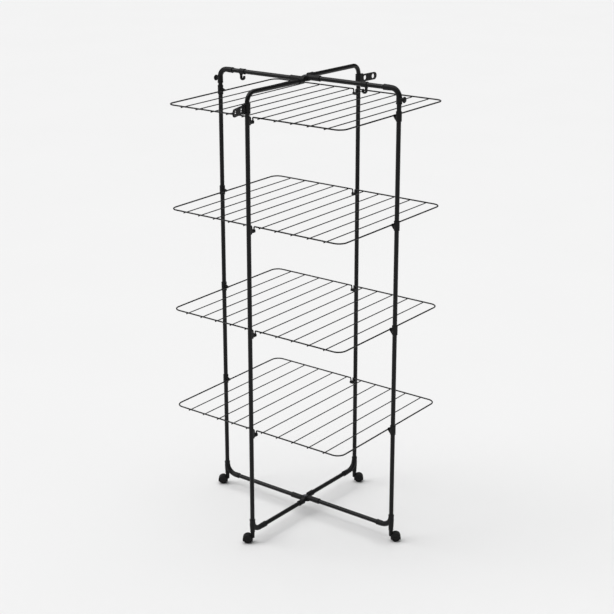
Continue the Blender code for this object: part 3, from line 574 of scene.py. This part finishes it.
class AIRER_OT_corners(bpy.types.Operator):
    """Build the moulded elbows with their knobs, and the feet"""

    bl_idname = "airer.corners"
    bl_label = "Elbows, Knobs and Feet"

    def execute(self, context):
        """A circle is carried round each corner; its radius follows the distance to the nearer mouth."""
        sizes = context.scene.airer_sizes
        for side in WIDE:
            self.elbow(side, sizes)
            self.knob(side, sizes)
        for side in SIDES:
            self.foot(side, sizes)
        return {"FINISHED"}

    def corner(self, drop, arm, r, sizes):
        """Surface of one corner in local coordinates, from the post's mouth to the rail's mouth."""
        outer = TUBE_R + sizes.socket_wall
        path = joined(line((0, 0, -drop), (0, 0, -r)), bend((r, 0, -r), (-r, 0, 0), (0, 0, r), 0, 90, 33),
                      line((r, 0, 0), (arm, 0, 0)))
        path = dense(path, sizes.edge, 0.0015, sleeve_marks(sizes))
        radius = socket_radius(path, outer - BEAD_UP, outer - 0.001, sizes)
        return carried(path, (0, 1, 0), round_outline(radius, sizes.around))

    def elbow(self, side, sizes):
        """Elbow with the boss that holds its knob."""
        node = side + "_elbow"
        height = TOP_RAIL_Z[side]
        grid = self.corner(height - corners(node)[0][2], along(node, side, False), ELBOW_BEND_R, sizes)
        out = along(node, side, True)
        knob = middle(side + "_knob")[2] - height
        profile = [(0.0048, out), (0.0058, out + 0.0003), (0.0062, out + 0.001), (0.0065, out + 0.004),
                   (0.0082, out + 0.007), (0.0082, -0.004)]
        boss = turned((0, 0, knob), (1, 0, 0), profile, sizes.around)
        fitting(node, side, height, [shell(grid), shell(boss)])

    def knob(self, side, sizes):
        """Mushroom knob: a neck under a low dome, turned about the line out of the post."""
        node = side + "_knob"
        tip, root = along(node, side, True), along(node, side, False)
        a = np.linspace(0.0, np.pi / 2, 12)
        dome = np.stack((0.0103 * np.sin(a), 0.36 * (1 - np.cos(a))), -1)[1:]
        under = [(0.0105, 0.42), (0.0103, 0.52), (0.0094, 0.61), (0.0068, 0.65), (0.006, 0.77),
                 (0.0063, 0.92), (0.0066, 0.99), (0.003, 1.01)]
        profile = np.vstack(([(0.0006, 0.0)], dome, under))
        profile[:, 1] = tip + profile[:, 1] * (root - KNOB_SHANK - tip)
        profile = np.vstack((profile, [(0.0029, root)]))
        grid = turned((0, 0, 0), (1, 0, 0), profile, sizes.around)
        fitting(node, side, middle(node)[2], [shell(grid)])

    def foot(self, side, sizes):
        """Foot with the tapered stub that takes the castor's stem."""
        node = side + "_foot"
        height = FOOT_RAIL_Z[side]
        top = corners(node)[1][2] - height
        grid = self.corner(top, along(node, side, False), FOOT_BEND_R, sizes) * (1, 1, -1)
        low = joint_place(side + "_castor_swivel")[2] - height
        profile = [(0.007, low), (0.008, low + 0.0003), (0.0085, low + 0.001), (0.0086, low + 0.005),
                   (0.0091, low + 0.012), (0.0098, top * 0.45), (0.01, top * 0.62), (0.0092, top - 0.008)]
        stub = turned((0, 0, 0), UP, profile, sizes.around)
        fitting(node, side, height, [shell(grid), shell(stub)])


class AIRER_OT_hubs(bpy.types.Operator):
    """Build the two crossing hubs and their pins"""

    bl_idname = "airer.hubs"
    bl_label = "Hubs"

    def execute(self, context):
        """Discs are turned, necks are rounded boxes carried outwards, sleeves are carried circles."""
        sizes = context.scene.airer_sizes
        for hub, rails in (("top_hub", TOP_RAIL_Z), ("bottom_hub", FOOT_RAIL_Z)):
            low, high = corners(hub + "_pin")
            parting = (rails["front"] + rails["rear"]) / 2
            self.half(hub + "_upper", NARROW, rails, parting, low, sizes)
            self.half(hub + "_lower", WIDE, rails, parting, low, sizes)
            self.pin(hub + "_pin", low[2], high[2], sizes)
        return {"FINISHED"}

    def half(self, node, sides, rails, parting, pin_low, sizes):
        """One half: a bored disc, and to each side a neck that widens into a sleeve at that rail's level."""
        thick = parting - pin_low[2] - 0.0005
        low = parting + 0.0002 if node.endswith("upper") else parting - 0.0002 - thick
        grid = turned((0, 0, 0), UP, ring_profile(0.0043, 0.013, low, low + thick, 0.001), sizes.around)
        shells = [shell(grid, closed=True)]
        outer = TUBE_R + sizes.socket_wall
        flat = low + thick / 2
        for side in sides:
            out = -INWARD[side]
            level = rails[side]
            path = line(out * 0.0155 + UP * level, out * hub_reach(node, side) + UP * level)
            path = dense(path, sizes.edge, 0.002, sleeve_marks(sizes))
            radius = socket_radius(path, outer - BEAD_UP, outer - BEAD_UP, sizes)
            shells.append(shell(carried(path, UP, round_outline(radius, sizes.around))))
            t = np.linspace(0.0, 1.0, 17)
            reach = 0.006 + 0.0135 * t
            f = eased((reach - 0.0132) / 0.006)
            neck = reach[:, None] * out + (flat + (level - flat) * 0.85 * f)[:, None] * UP
            outline = squared_outline(thick / 2 - 0.0001 + 0.0042 * f, 0.0076 + 0.0014 * f, 5, sizes.around)
            shells.append(shell(carried(neck, UP, outline)))
        piece(node + "_moulding", shells, "moulded_plastic", "frames", [node])

    def pin(self, node, low, high, sizes):
        """Pin with a low dome over its head and a rounded end below."""
        base = high - 0.0035
        a = np.linspace(0, np.pi / 2, 9)
        dome = np.stack((0.0078 * np.cos(a), base + 0.0012 + (high - base - 0.0012) * np.sin(a)), -1)[:-1]
        shank = [(0.003, low), (0.0038, low + 0.0005), (0.004, low + 0.001), (0.004, base),
                 (0.0074, base), (0.0078, base + 0.0004)]
        grid = turned((0, 0, 0), UP, np.vstack((shank, dome, [(0.0009, high)])), sizes.around)
        piece(node + "_rivet", [shell(grid)], "steel", "frames", [node])


class AIRER_OT_hooks(bpy.types.Operator):
    """Build the two hooks that hang from the wide frame's top rails"""

    bl_idname = "airer.hooks"
    bl_label = "Rail Hooks"

    def execute(self, context):
        """The collar is a turned ring; the hook is a circle carried down, round half a turn and up a lip."""
        sizes = context.scene.airer_sizes
        for side in WIDE:
            node = side + "_rail_hook"
            low, high = corners(node)
            height = TOP_RAIL_Z[side]
            x = (along(node, side, True) + along(node, side, False)) / 2
            half = (along(node, side, False) - along(node, side, True)) / 2
            drop = height - low[2] - HOOK_BEND_R - HOOK_WIRE_R
            rings = ring_profile(TUBE_R + SKIN_GAP, TUBE_R + sizes.socket_wall - 0.0005, -half, half,
                                 sizes.edge, BEAD_UP, 0.0025)
            collar = turned((x, 0, 0), (1, 0, 0), rings, sizes.around)
            path = joined(
                line((x - HOOK_BEND_R, 0, -TUBE_R - 0.001), (x - HOOK_BEND_R, 0, -drop)),
                bend((x, 0, -drop), (-HOOK_BEND_R, 0, 0), (0, 0, -HOOK_BEND_R), 0, 180, 33),
                line((x + HOOK_BEND_R, 0, -drop), (x + HOOK_BEND_R, 0, -drop + HOOK_LIP)))
            path = dense(path, HOOK_WIRE_R * 0.9, 0.001)
            radius = rounded_off(path, HOOK_WIRE_R, HOOK_WIRE_R * 0.9)
            flare = 0.0022 * np.clip(1 - walked(path) / 0.007, 0.0, 1.0) ** 2
            outline = squared_outline(radius * HOOK_BROADER + flare, radius * 0.94 + flare, 2.6, 24)
            hook = carried(path, (0, 1, 0), outline)
            fitting(node, side, height, [shell(collar, closed=True), shell(hook)])
        return {"FINISHED"}


class AIRER_OT_hanger_holders(bpy.types.Operator):
    """Build the clamps on the narrow frame's posts and the swinging plates for coat hangers"""

    bl_idname = "airer.hanger_holders"
    bl_label = "Hanger Holders"

    def execute(self, context):
        """Rings are turned, lugs are thickened flat outlines, and a plate is one cell round each hole."""
        sizes = context.scene.airer_sizes
        for side in NARROW:
            self.clamp(side, sizes)
            self.plate(side, sizes)
        return {"FINISHED"}

    def clamp(self, side, sizes):
        """A ring round the post with a lug above and below the plate, and the pin through them."""
        low, high = corners(side + "_hanger_clamp")
        height = (low[2] + high[2]) / 2
        half = (high[2] - low[2]) / 2
        pivot = POST[side] - joint_place(side + "_hanger_plate_swing") * (1, 1, 0)
        out = -np.linalg.norm(pivot)
        rings = ring_profile(TUBE_R + SKIN_GAP, TUBE_R + 0.0031, -half, half, sizes.edge, 0.0004, 0.003)
        ring = turned((0, 0, 0), UP, rings, sizes.around)
        shells = [shell(ring, closed=True)]
        outline = np.vstack((arc((out, 0), LUG_R, 90, 270, 17), [(-TUBE_R, -LUG_R), (-TUBE_R, LUG_R)]))
        for sign in (-1, 1):
            level = sign * (half - LUG_T / 2)
            shells.append(slab(outline, LYING, (0, 0, level), LUG_T / 2))
        soften(fitting(side + "_hanger_clamp", side, height, shells), sizes.edge)
        ends = half - 0.0002
        profile = [(0.0016, -ends), (0.002, -ends + 0.0004), (0.002, ends), (0.0034, ends),
                   (0.0034, ends + 0.0004), (0.0026, ends + 0.001), (0.0008, ends + 0.0013)]
        pin = turned((out, 0, 0), UP, profile, 24)
        piece(side + "_hanger_pin_rivet", [shell(at_post(pin, side, height))], "steel", "frames",
              [side + "_hanger_pin"])

    def plate(self, side, sizes):
        """A barrel on the pin and a flat plate made of one cell round each hole.

        A cell's section runs round the plate's thickness, from the hole's radius to the cell's edge at
        that angle: the nearest of its straight sides, or for the outer cell the plate's round end.
        """
        joint = JOINTS[side + "_hanger_plate_swing"]
        turn = -math.radians(sum(joint["range_deg"]) / 2)
        place = joint_place(side + "_hanger_plate_swing")
        low, high = corners(side + "_hanger_plate")
        half = (high[2] - low[2]) / 2
        out = -INWARD[side]
        way = math.cos(turn) * out + math.sin(turn) * np.cross(UP, out)
        across = np.cross(UP, way)
        v = np.linspace(0, 2 * np.pi, 96, endpoint=False)
        shells = []
        joint_x = (HOLE_FROM_PIN[0] + HOLE_FROM_PIN[1]) / 2
        spans = ((0.003, joint_x), (joint_x, PLATE_REACH))
        for x, (near, far) in zip(HOLE_FROM_PIN, spans):
            c, s = np.cos(v), np.sin(v)
            with np.errstate(divide="ignore"):
                sides = np.where(c > 0, (far - x) / np.abs(c), (x - near) / np.abs(c))
                edge = np.minimum(sides, half / np.abs(s))
            if far == PLATE_REACH:
                gap = x - (PLATE_REACH - half)
                edge = np.where(c > -gap / half, -gap * c + np.sqrt(half ** 2 - (gap * s) ** 2), edge)
            t = PLATE_T / 2
            e = sizes.edge
            inner = arc((HOLE_R + e, t - e), e, 180, 90, 4)
            outer = arc((-e, t - e), e, 90, 0, 4)
            at_hole = np.vstack((inner, inner[::-1] * (1, -1)))
            at_edge = np.vstack((outer[::-1] * (1, -1), outer))
            radii = np.vstack((np.repeat(at_hole[:4, :1], len(v), 1), edge + at_edge[4:, :1],
                               edge + at_edge[:4, :1], np.repeat(at_hole[4:, :1], len(v), 1)))
            depth = np.concatenate((at_hole[:4, 1], at_edge[4:, 1], at_edge[:4, 1], at_hole[4:, 1]))
            grid = (place + (x + radii * c)[..., None] * way + (radii * s)[..., None] * UP
                    + depth[:, None, None] * across)
            shells.append(shell(grid, closed=True))
        e = sizes.edge
        rows = [(BARREL_R - e, -half), (BARREL_R, -half + e), (BARREL_R, half - e), (BARREL_R - e, half)]
        shells.append(shell(turned(place, UP, rows, 32)))
        piece(side + "_hanger_plate_moulding", shells, "moulded_plastic", side + "_hanger_plate",
              [side + "_hanger_plate"])


class AIRER_OT_shelves(bpy.types.Operator):
    """Build the four wire shelves"""

    bl_idname = "airer.shelves"
    bl_label = "Wire Shelves"

    def execute(self, context):
        """A circle carried round the rim with its two loops, ten straight wires, and a weld at each end."""
        sizes = context.scene.airer_sizes
        for shelf in SHELVES:
            self.shelf(shelf, sizes)
        return {"FINISHED"}

    def rim(self, half_x, half_y, shift):
        """Rim's axis and its outward direction: rounded corners, and a loop in the middle of long sides."""
        low = bend((0, 0, -LOOP_DROP), (0, 0, -LOOP_R), (LOOP_R, 0, 0), 0, 90, 11)
        high = bend((LOOP_R + SHOULDER_R, 0, -SHOULDER_R), (-SHOULDER_R, 0, 0), (0, 0, SHOULDER_R), 0, 90, 9)
        half = np.vstack((low, high))
        loop = np.vstack((half[:0:-1] * (-1, 1, 1), half))
        runs = []
        outs = []
        for sign in (-1, 1):
            runs.append(loop * (-sign, 1, 1) + np.array((-sign * shift, sign * half_y, 0)))
            outs.append(np.tile((0.0, sign, 0.0), (len(loop), 1)))
            for corner in (0, 1):
                centre = (-sign * (half_x - SHELF_CORNER_R),
                          (1 - 2 * corner) * sign * (half_y - SHELF_CORNER_R), 0)
                start = 90 * sign + 90 * corner
                runs.append(bend(centre, (SHELF_CORNER_R, 0, 0), (0, SHELF_CORNER_R, 0),
                                 start, start + 90, 13))
                outs.append(bend((0, 0, 0), (1, 0, 0), (0, 1, 0), start, start + 90, 13))
        return np.vstack(runs), np.vstack(outs)

    def shelf(self, shelf, sizes):
        """One shelf in place of its node, riding on its own body."""
        origin, x_way, y_way, up = shelf_axes(shelf)
        low, high = corners(shelf)
        turn = math.atan2(joint_axis(shelf + "_tilt")[0], -joint_axis(shelf + "_tilt")[1])
        half_x = (high[0] - low[0]) / 2 - sizes.rim_r
        half_y = (high[1] - low[1]) / 2 / y_way[1] - WIRE_POKE
        path, outs = self.rim(half_x, half_y, half_y * math.tan(turn))
        keep = np.linalg.norm(path - np.roll(path, 1, axis=0), axis=1) > 1e-6
        path, outs = path[keep], outs[keep]
        outline = round_outline(np.full(len(path), sizes.rim_r), 20)
        shells = [shell(carried(path, outs, outline, closed=True), closed=True)]
        drop = -(sizes.rim_r + sizes.wire_r - WIRE_SINK)
        x = -half_x + 2 * half_x * np.arange(1, WIRE_COUNT + 1) / (WIRE_COUNT + 1)
        reach = half_y + WIRE_POKE
        wire = dense(line((0, -reach, drop), (0, reach, drop)), 0.001, 0.03)
        radius = rounded_off(wire, sizes.wire_r, sizes.wire_r * 0.6)
        rod = carried(wire, (1, 0, 0), round_outline(radius, 14))
        a = np.linspace(0.12, np.pi - 0.12, 7)
        weld = turned((0, 0, 0), (0, 1, 0), np.stack((0.0019 * np.sin(a), -0.003 * np.cos(a)), -1), 12)
        for place in x:
            shells.append(shell(rod + (place, 0, 0)))
            for sign in (-1, 1):
                shells.append(shell(weld * (1.15, 1, 0.9) + (place, sign * half_y, drop * 0.62)))
        shells = [(origin + part[0][:, :1] * x_way + part[0][:, 1:2] * y_way + part[0][:, 2:] * up,)
                  + part[1:] for part in shells]
        piece(shelf + "_wirework", shells, "powder_coat", shelf, [shelf])


class AIRER_OT_shelf_holders(bpy.types.Operator):
    """Build the saddles on the narrow frame and the snap clips on the wide frame"""

    bl_idname = "airer.shelf_holders"
    bl_label = "Saddles and Clips"

    def execute(self, context):
        """Each is a flat outline thickened both ways and softened, on a turned collar or a curved pad."""
        sizes = context.scene.airer_sizes
        for shelf in SHELVES:
            origin, _, y_way, up = shelf_axes(shelf)
            for side in NARROW:
                self.saddle(shelf, side, origin, y_way, up, sizes)
            for side in WIDE:
                self.clip(shelf, side, origin[2], sizes)
        return {"FINISHED"}

    def saddle(self, shelf, side, origin, y_way, up, sizes):
        """Hook on the post's inner side: a pad, a back, a base under the loop and a lip."""
        node = shelf + "_" + side + "_saddle"
        sign = -1 if side == "front" else 1
        low, high = corners(shelf)
        half_y = (high[1] - low[1]) / 2 / y_way[1] - WIRE_POKE
        loop = origin + sign * half_y * y_way - LOOP_DROP * up
        rod = np.linalg.norm(POST[side]) - half_y * y_way[1]
        channel = sizes.rim_r + SADDLE_GAP
        seat = -LOOP_R - sizes.rim_r - SEAT_GAP
        lip = rod + channel
        pad_low = corners(node)[0][2] - loop[2]
        pad_out = TUBE_R + PAD_T
        hook = np.array([(0.007, seat - 0.0026), (0.0085, seat - 0.0032), (lip + 0.0014, seat - 0.0032),
                         (lip + 0.003, seat - 0.0018), (lip + 0.003, -0.0022), (lip + 0.002, -0.001),
                         (lip, -0.001), (lip, seat + 0.001), (lip - 0.001, seat),
                         (rod - channel + 0.001, seat), (rod - channel, seat + 0.001),
                         (rod - channel, -0.004), (0.007, -0.004)])
        front = np.array([(pad_out - 0.0022, PAD_HALF_W), (pad_out - 0.0006, PAD_HALF_W - 0.0006),
                          (pad_out, PAD_HALF_W - 0.002)])
        curve = np.vstack((arc((0, 0), TUBE_R + SKIN_GAP, -58, 58, 21), front, front[::-1] * (1, -1)))
        pad = slab(curve, LYING, (0, 0, pad_low + 0.01), 0.01)
        arm = slab(hook, STANDING, (0, 0, 0), SADDLE_HALF_W)
        soften(fitting(node, side, loop[2], [pad, arm]), sizes.edge * 0.8)

    def clip(self, shelf, side, height, sizes):
        """Collar on the post and a nose with a channel for the rim, open upwards right and downwards left."""
        node = shelf + "_" + side + "_clip"
        flip = 1 if side == "right" else -1
        low, high = corners(node)
        half = (high[2] - low[2]) / 2
        level = (high[2] + low[2]) / 2 - height
        rod = abs(POST[side][0]) - ((corners(shelf)[1][0] - corners(shelf)[0][0]) / 2 - sizes.rim_r)
        wall = rod - sizes.rim_r - CLIP_GAP
        lip = rod + sizes.rim_r + CLIP_GAP
        seat = -sizes.rim_r - SEAT_GAP
        drop = GUSSET_DROP[side]
        nose = np.array([(0.009, 0.0015), (wall, 0.0015), (wall, seat + 0.0008), (wall + 0.0008, seat),
                         (lip - 0.0008, seat), (lip, seat + 0.0008), (lip, 0.0006), (lip + 0.0008, 0.0015),
                         (lip + 0.0022, 0.0015), (lip + 0.003, 0.0004), (lip + 0.003, -0.0045),
                         (0.0104, -drop), (0.009, -drop)])
        tab = slab(nose, STANDING * (1, 1, flip), (0, 0, 0), CLIP_HALF_W)
        rings = ring_profile(TUBE_R + SKIN_GAP, TUBE_R + CLIP_COLLAR_T, level - half, level + half,
                             sizes.edge, 0.0003, 0.002)
        collar = turned((0, 0, 0), UP, rings, sizes.around)
        soften(fitting(node, side, height, [shell(collar, closed=True), tab]), sizes.edge * 0.8)


class AIRER_OT_castors(bpy.types.Operator):
    """Build the four swivelling twin-wheel castors"""

    bl_idname = "airer.castors"
    bl_label = "Castors"

    def execute(self, context):
        """Hoods are a section carried round the axle, bosses and wheels are turned."""
        sizes = context.scene.airer_sizes
        for side in SIDES:
            swivel = joint_place(side + "_castor_swivel")
            axle = joint_place(side + "_wheel_spin")
            trail = (axle - swivel) * (1, 1, 0)
            trail /= np.linalg.norm(trail)
            across = np.cross(UP, trail)
            self.body(side, swivel, axle, trail, across, sizes)
            self.wheels(side, axle, across, sizes)
        return {"FINISHED"}

    def body(self, side, swivel, axle, trail, across, sizes):
        """Hood over both wheels, the web between them, and the boss and stem on the swivel axis.

        The hood's section runs up one cheek, over the tread and down the other; each cheek's lower edge
        is a circle centred below the axle.
        """
        node = side + "_castor_body"
        rim = HOOD_R
        half = CHEEK_OUT
        start = math.degrees(math.asin((HOOD_LOW - axle[2]) / rim))
        a = np.radians(np.linspace(start, 180 - start, 49))[:, None]
        mouth = -CHEEK_DROP * np.sin(a) + np.sqrt(CHEEK_R ** 2 - (CHEEK_DROP * np.cos(a)) ** 2)
        c = 0.0028
        t = np.linspace(0, 1, 5)[None, :]
        q = np.linspace(0, np.pi / 2, 7)[None, 1:]
        cheek_r = mouth + (rim - c - mouth) * t
        round_r = rim - c + c * np.sin(q) + 0 * a
        cheek_y = -half + 0 * cheek_r
        round_y = -half + c - c * np.cos(q) + 0 * a
        radius = np.concatenate((cheek_r, round_r), 1)
        offset = np.concatenate((cheek_y, round_y), 1)
        radius = np.concatenate((radius, radius[:, ::-1]), 1)[..., None]
        offset = np.concatenate((offset, -offset[:, ::-1]), 1)[..., None]
        spoke = np.cos(a)[..., None] * trail + np.sin(a)[..., None] * UP
        hood = self.walled(axle, radius, offset, spoke, across)
        web = slab(arc((0, 0), WEB_R, start, 180 - start, 41), (trail, UP, across), axle, WEB_T / 2)
        top = swivel[2] - 0.0003
        base = axle[2] + 0.004
        profile = [(0.004, base), (0.0068, base + 0.0004), (0.0072, top - 0.004), (0.0072, top - 0.003),
                   (0.0086, top - 0.0024), (0.0088, top - 0.0016), (0.0084, top - 0.0004), (0.005, top),
                   (0.004, top), (0.004, corners(node)[1][2] - 0.0004), (0.0034, corners(node)[1][2])]
        boss = turned(swivel * (1, 1, 0), UP, profile, sizes.around)
        piece(node + "_moulding", [hood, web, shell(boss)], "moulded_plastic", side + "_castor", [node])

    def walled(self, axle, radius, offset, spoke, across):
        """The hood's outer surface, an inner one HOOD_WALL inside it, and a rim round their edges."""
        outer = axle + radius * spoke + offset * across
        inner_r = np.minimum(radius, HOOD_R - HOOD_WALL)
        inner_y = np.clip(offset, -CHEEK_OUT + HOOD_WALL, CHEEK_OUT - HOOD_WALL)
        inner = axle + inner_r * spoke + inner_y * across
        both = np.concatenate((outer, inner[:, ::-1]), axis=1)
        rows, count, _ = both.shape
        points = both.reshape(-1, 3)
        quads = grid_faces(rows, count, False)
        j = np.arange(count // 2 - 1)
        facing = count - 1 - j
        start = np.stack((j, j + 1, facing - 1, facing), -1)
        end = (rows - 1) * count + start[:, ::-1]
        return points, np.vstack((quads, start, end))

    def wheels(self, side, axle, across, sizes):
        """Both wheels and their spindle: round treads, a recessed face and a cap over the axle."""
        node = side + "_castor_wheels"
        r = axle[2] - corners(node)[0][2]
        gap = WHEEL_GAP / 2
        out = gap + WHEEL_T
        e = TREAD_EDGE
        tread_in = arc((r - e, gap + e), e, -90, 0, 6)
        tread_out = arc((r - e, out - e), e, 0, 90, 6)
        face = [(r - 0.003, out), (r - 0.0036, out - 0.0012), (0.0056, out - 0.0012),
                (0.005, out - 0.0002), (0.003, out + 0.0002), (0.0006, out + 0.0003)]
        profile = np.vstack(([(0.0006, gap)], tread_in, tread_out, face))
        shells = [shell(turned(axle, sign * across, profile, 48)) for sign in (-1, 1)]
        spindle = [(0.0025, -gap - 0.002), (0.0025, gap + 0.002)]
        shells.append(shell(turned(axle, across, spindle, 16)))
        piece(node + "_moulding", shells, "wheel_plastic", side + "_wheels", [node])


# ---------------- stage
class AIRER_OT_stage(bpy.types.Operator):
    """Build the floor, the lights and the camera"""

    bl_idname = "airer.stage"
    bl_label = "Stage"

    def execute(self, context):
        """A flat round floor, pale air, a wide sun above, a narrower one from the side, and the camera."""
        colours = context.scene.airer_colours
        self.floor(colours)
        world = bpy.data.worlds.new("studio_air")
        context.scene.world = world
        world.use_nodes = True
        tree = world.node_tree
        tree.nodes.clear()
        seen = add_node(tree, "ShaderNodeBackground", {}, {"Color": linear(BACKDROP), "Strength": 1.0})
        lit = add_node(tree, "ShaderNodeBackground", {}, {"Color": (1, 1, 1, 1), "Strength": AIR_LIGHT})
        path = add_node(tree, "ShaderNodeLightPath").outputs["Is Camera Ray"]
        mixed = add_node(tree, "ShaderNodeMixShader", {}, {
            0: path, 1: lit.outputs[0], 2: seen.outputs[0]}).outputs[0]
        add_node(tree, "ShaderNodeOutputWorld", {}, {"Surface": mixed})
        self.sun("overhead_softbox", (-0.10, 0.10, 0.99), TOP_SUN, 75)
        self.sun("key_softbox", (-0.62, -0.45, 0.64), KEY_SUN, 40)
        context.scene.view_settings.view_transform = "Standard"
        context.scene.view_settings.look = "None"
        self.camera(context)
        return {"FINISHED"}

    def floor(self, colours):
        """Rings of growing radius: point (i, j) = FLOOR_RADIUS * t^2 * (cos v, sin v), t from 0.02 to 1."""
        radius = FLOOR_RADIUS * (np.linspace(0.02, 1.0, 24) ** 2)
        grid = turned((0, 0, 0), UP, np.stack((radius, np.full(24, FLOOR_Z)), -1), 64)
        points = np.vstack((grid.reshape(-1, 3), (0, 0, FLOOR_Z)))
        j = np.arange(64)
        caps = np.stack((np.full(64, len(points) - 1), j, (j + 1) % 64), -1)
        mesh = bpy.data.meshes.new("studio_floor")
        mesh.from_pydata(points, [], grid_faces(24, 64, False).tolist() + caps.tolist())
        face_out(mesh)
        if mesh.polygons[0].normal.z < 0:
            mesh.flip_normals()
        item = bpy.data.objects.new("studio_floor", mesh)
        bpy.context.scene.collection.objects.link(item)
        # Matt paper, rolled: pale, with a very faint cloudiness and no gloss.
        paper = grained("rolled_paper_pale", colours.paper, "#E8E8E8", 0.92, 0.02, 0.00005, 0.1, blotch=0.8)
        mesh.materials.append(paper)

    def sun(self, name, from_way, strength, angle):
        """A sun shining from a direction, wide enough for soft shadows."""
        data = bpy.data.lights.new(name, "SUN")
        data.energy = strength
        data.angle = math.radians(angle)
        item = bpy.data.objects.new(name, data)
        item.rotation_mode = "QUATERNION"
        item.rotation_quaternion = Vector(from_way).to_track_quat("Z", "Y")
        bpy.context.scene.collection.objects.link(item)

    def camera(self, context):
        """Camera from its place, its turn round the upright axis and its look downwards."""
        data = bpy.data.cameras.new("camera")
        data.sensor_width = 36.0
        data.lens = CAMERA_LENS
        data.shift_x = CAMERA_SHIFT[0]
        data.shift_y = CAMERA_SHIFT[1]
        data.clip_end = 200.0
        item = bpy.data.objects.new("camera", data)
        turn, look = math.radians(CAMERA_TURN), math.radians(CAMERA_LOOK)
        level = math.cos(look)
        forward = Vector((-math.sin(turn) * level, math.cos(turn) * level, -math.sin(look)))
        item.location = CAMERA_PLACE
        item.rotation_mode = "QUATERNION"
        item.rotation_quaternion = (-forward).to_track_quat("Z", "Y")
        context.scene.collection.objects.link(item)
        context.scene.camera = item


class AIRER_PT_panel(bpy.types.Panel):
    """Sidebar panel that lists the airer's operators"""

    bl_idname = "AIRER_PT_panel"
    bl_label = "Tower Clothes Airer"
    bl_space_type = "VIEW_3D"
    bl_region_type = "UI"
    bl_category = "Airer"

    def draw(self, context):
        """Sizes and colours, then one button for each operator."""
        for group in (context.scene.airer_sizes, context.scene.airer_colours):
            for name in group.bl_rna.properties.keys():
                if name not in ("rna_type", "name"):
                    self.layout.prop(group, name)
        for operator in OPERATORS:
            self.layout.operator(operator.bl_idname)


OPERATORS = (AIRER_OT_tubes, AIRER_OT_corners, AIRER_OT_hubs, AIRER_OT_hooks, AIRER_OT_hanger_holders,
             AIRER_OT_shelves, AIRER_OT_shelf_holders, AIRER_OT_castors, AIRER_OT_stage)
CLASSES = (AirerSizes, AirerColours) + OPERATORS + (AIRER_PT_panel,)


def register():
    """Register the classes and hang the property groups on the scene."""
    for item in CLASSES:
        bpy.utils.register_class(item)
    bpy.types.Scene.airer_sizes = bpy.props.PointerProperty(type=AirerSizes)
    bpy.types.Scene.airer_colours = bpy.props.PointerProperty(type=AirerColours)


def unregister():
    """Take the property groups and the classes away again."""
    del bpy.types.Scene.airer_colours
    del bpy.types.Scene.airer_sizes
    for item in reversed(CLASSES):
        bpy.utils.unregister_class(item)


def main():
    """Build everything in order."""
    register()
    make_materials(bpy.context.scene.airer_colours)
    for operator in OPERATORS:
        group, name = operator.bl_idname.split(".")
        getattr(getattr(bpy.ops, group), name)()


if __name__ == "__main__":
    main()
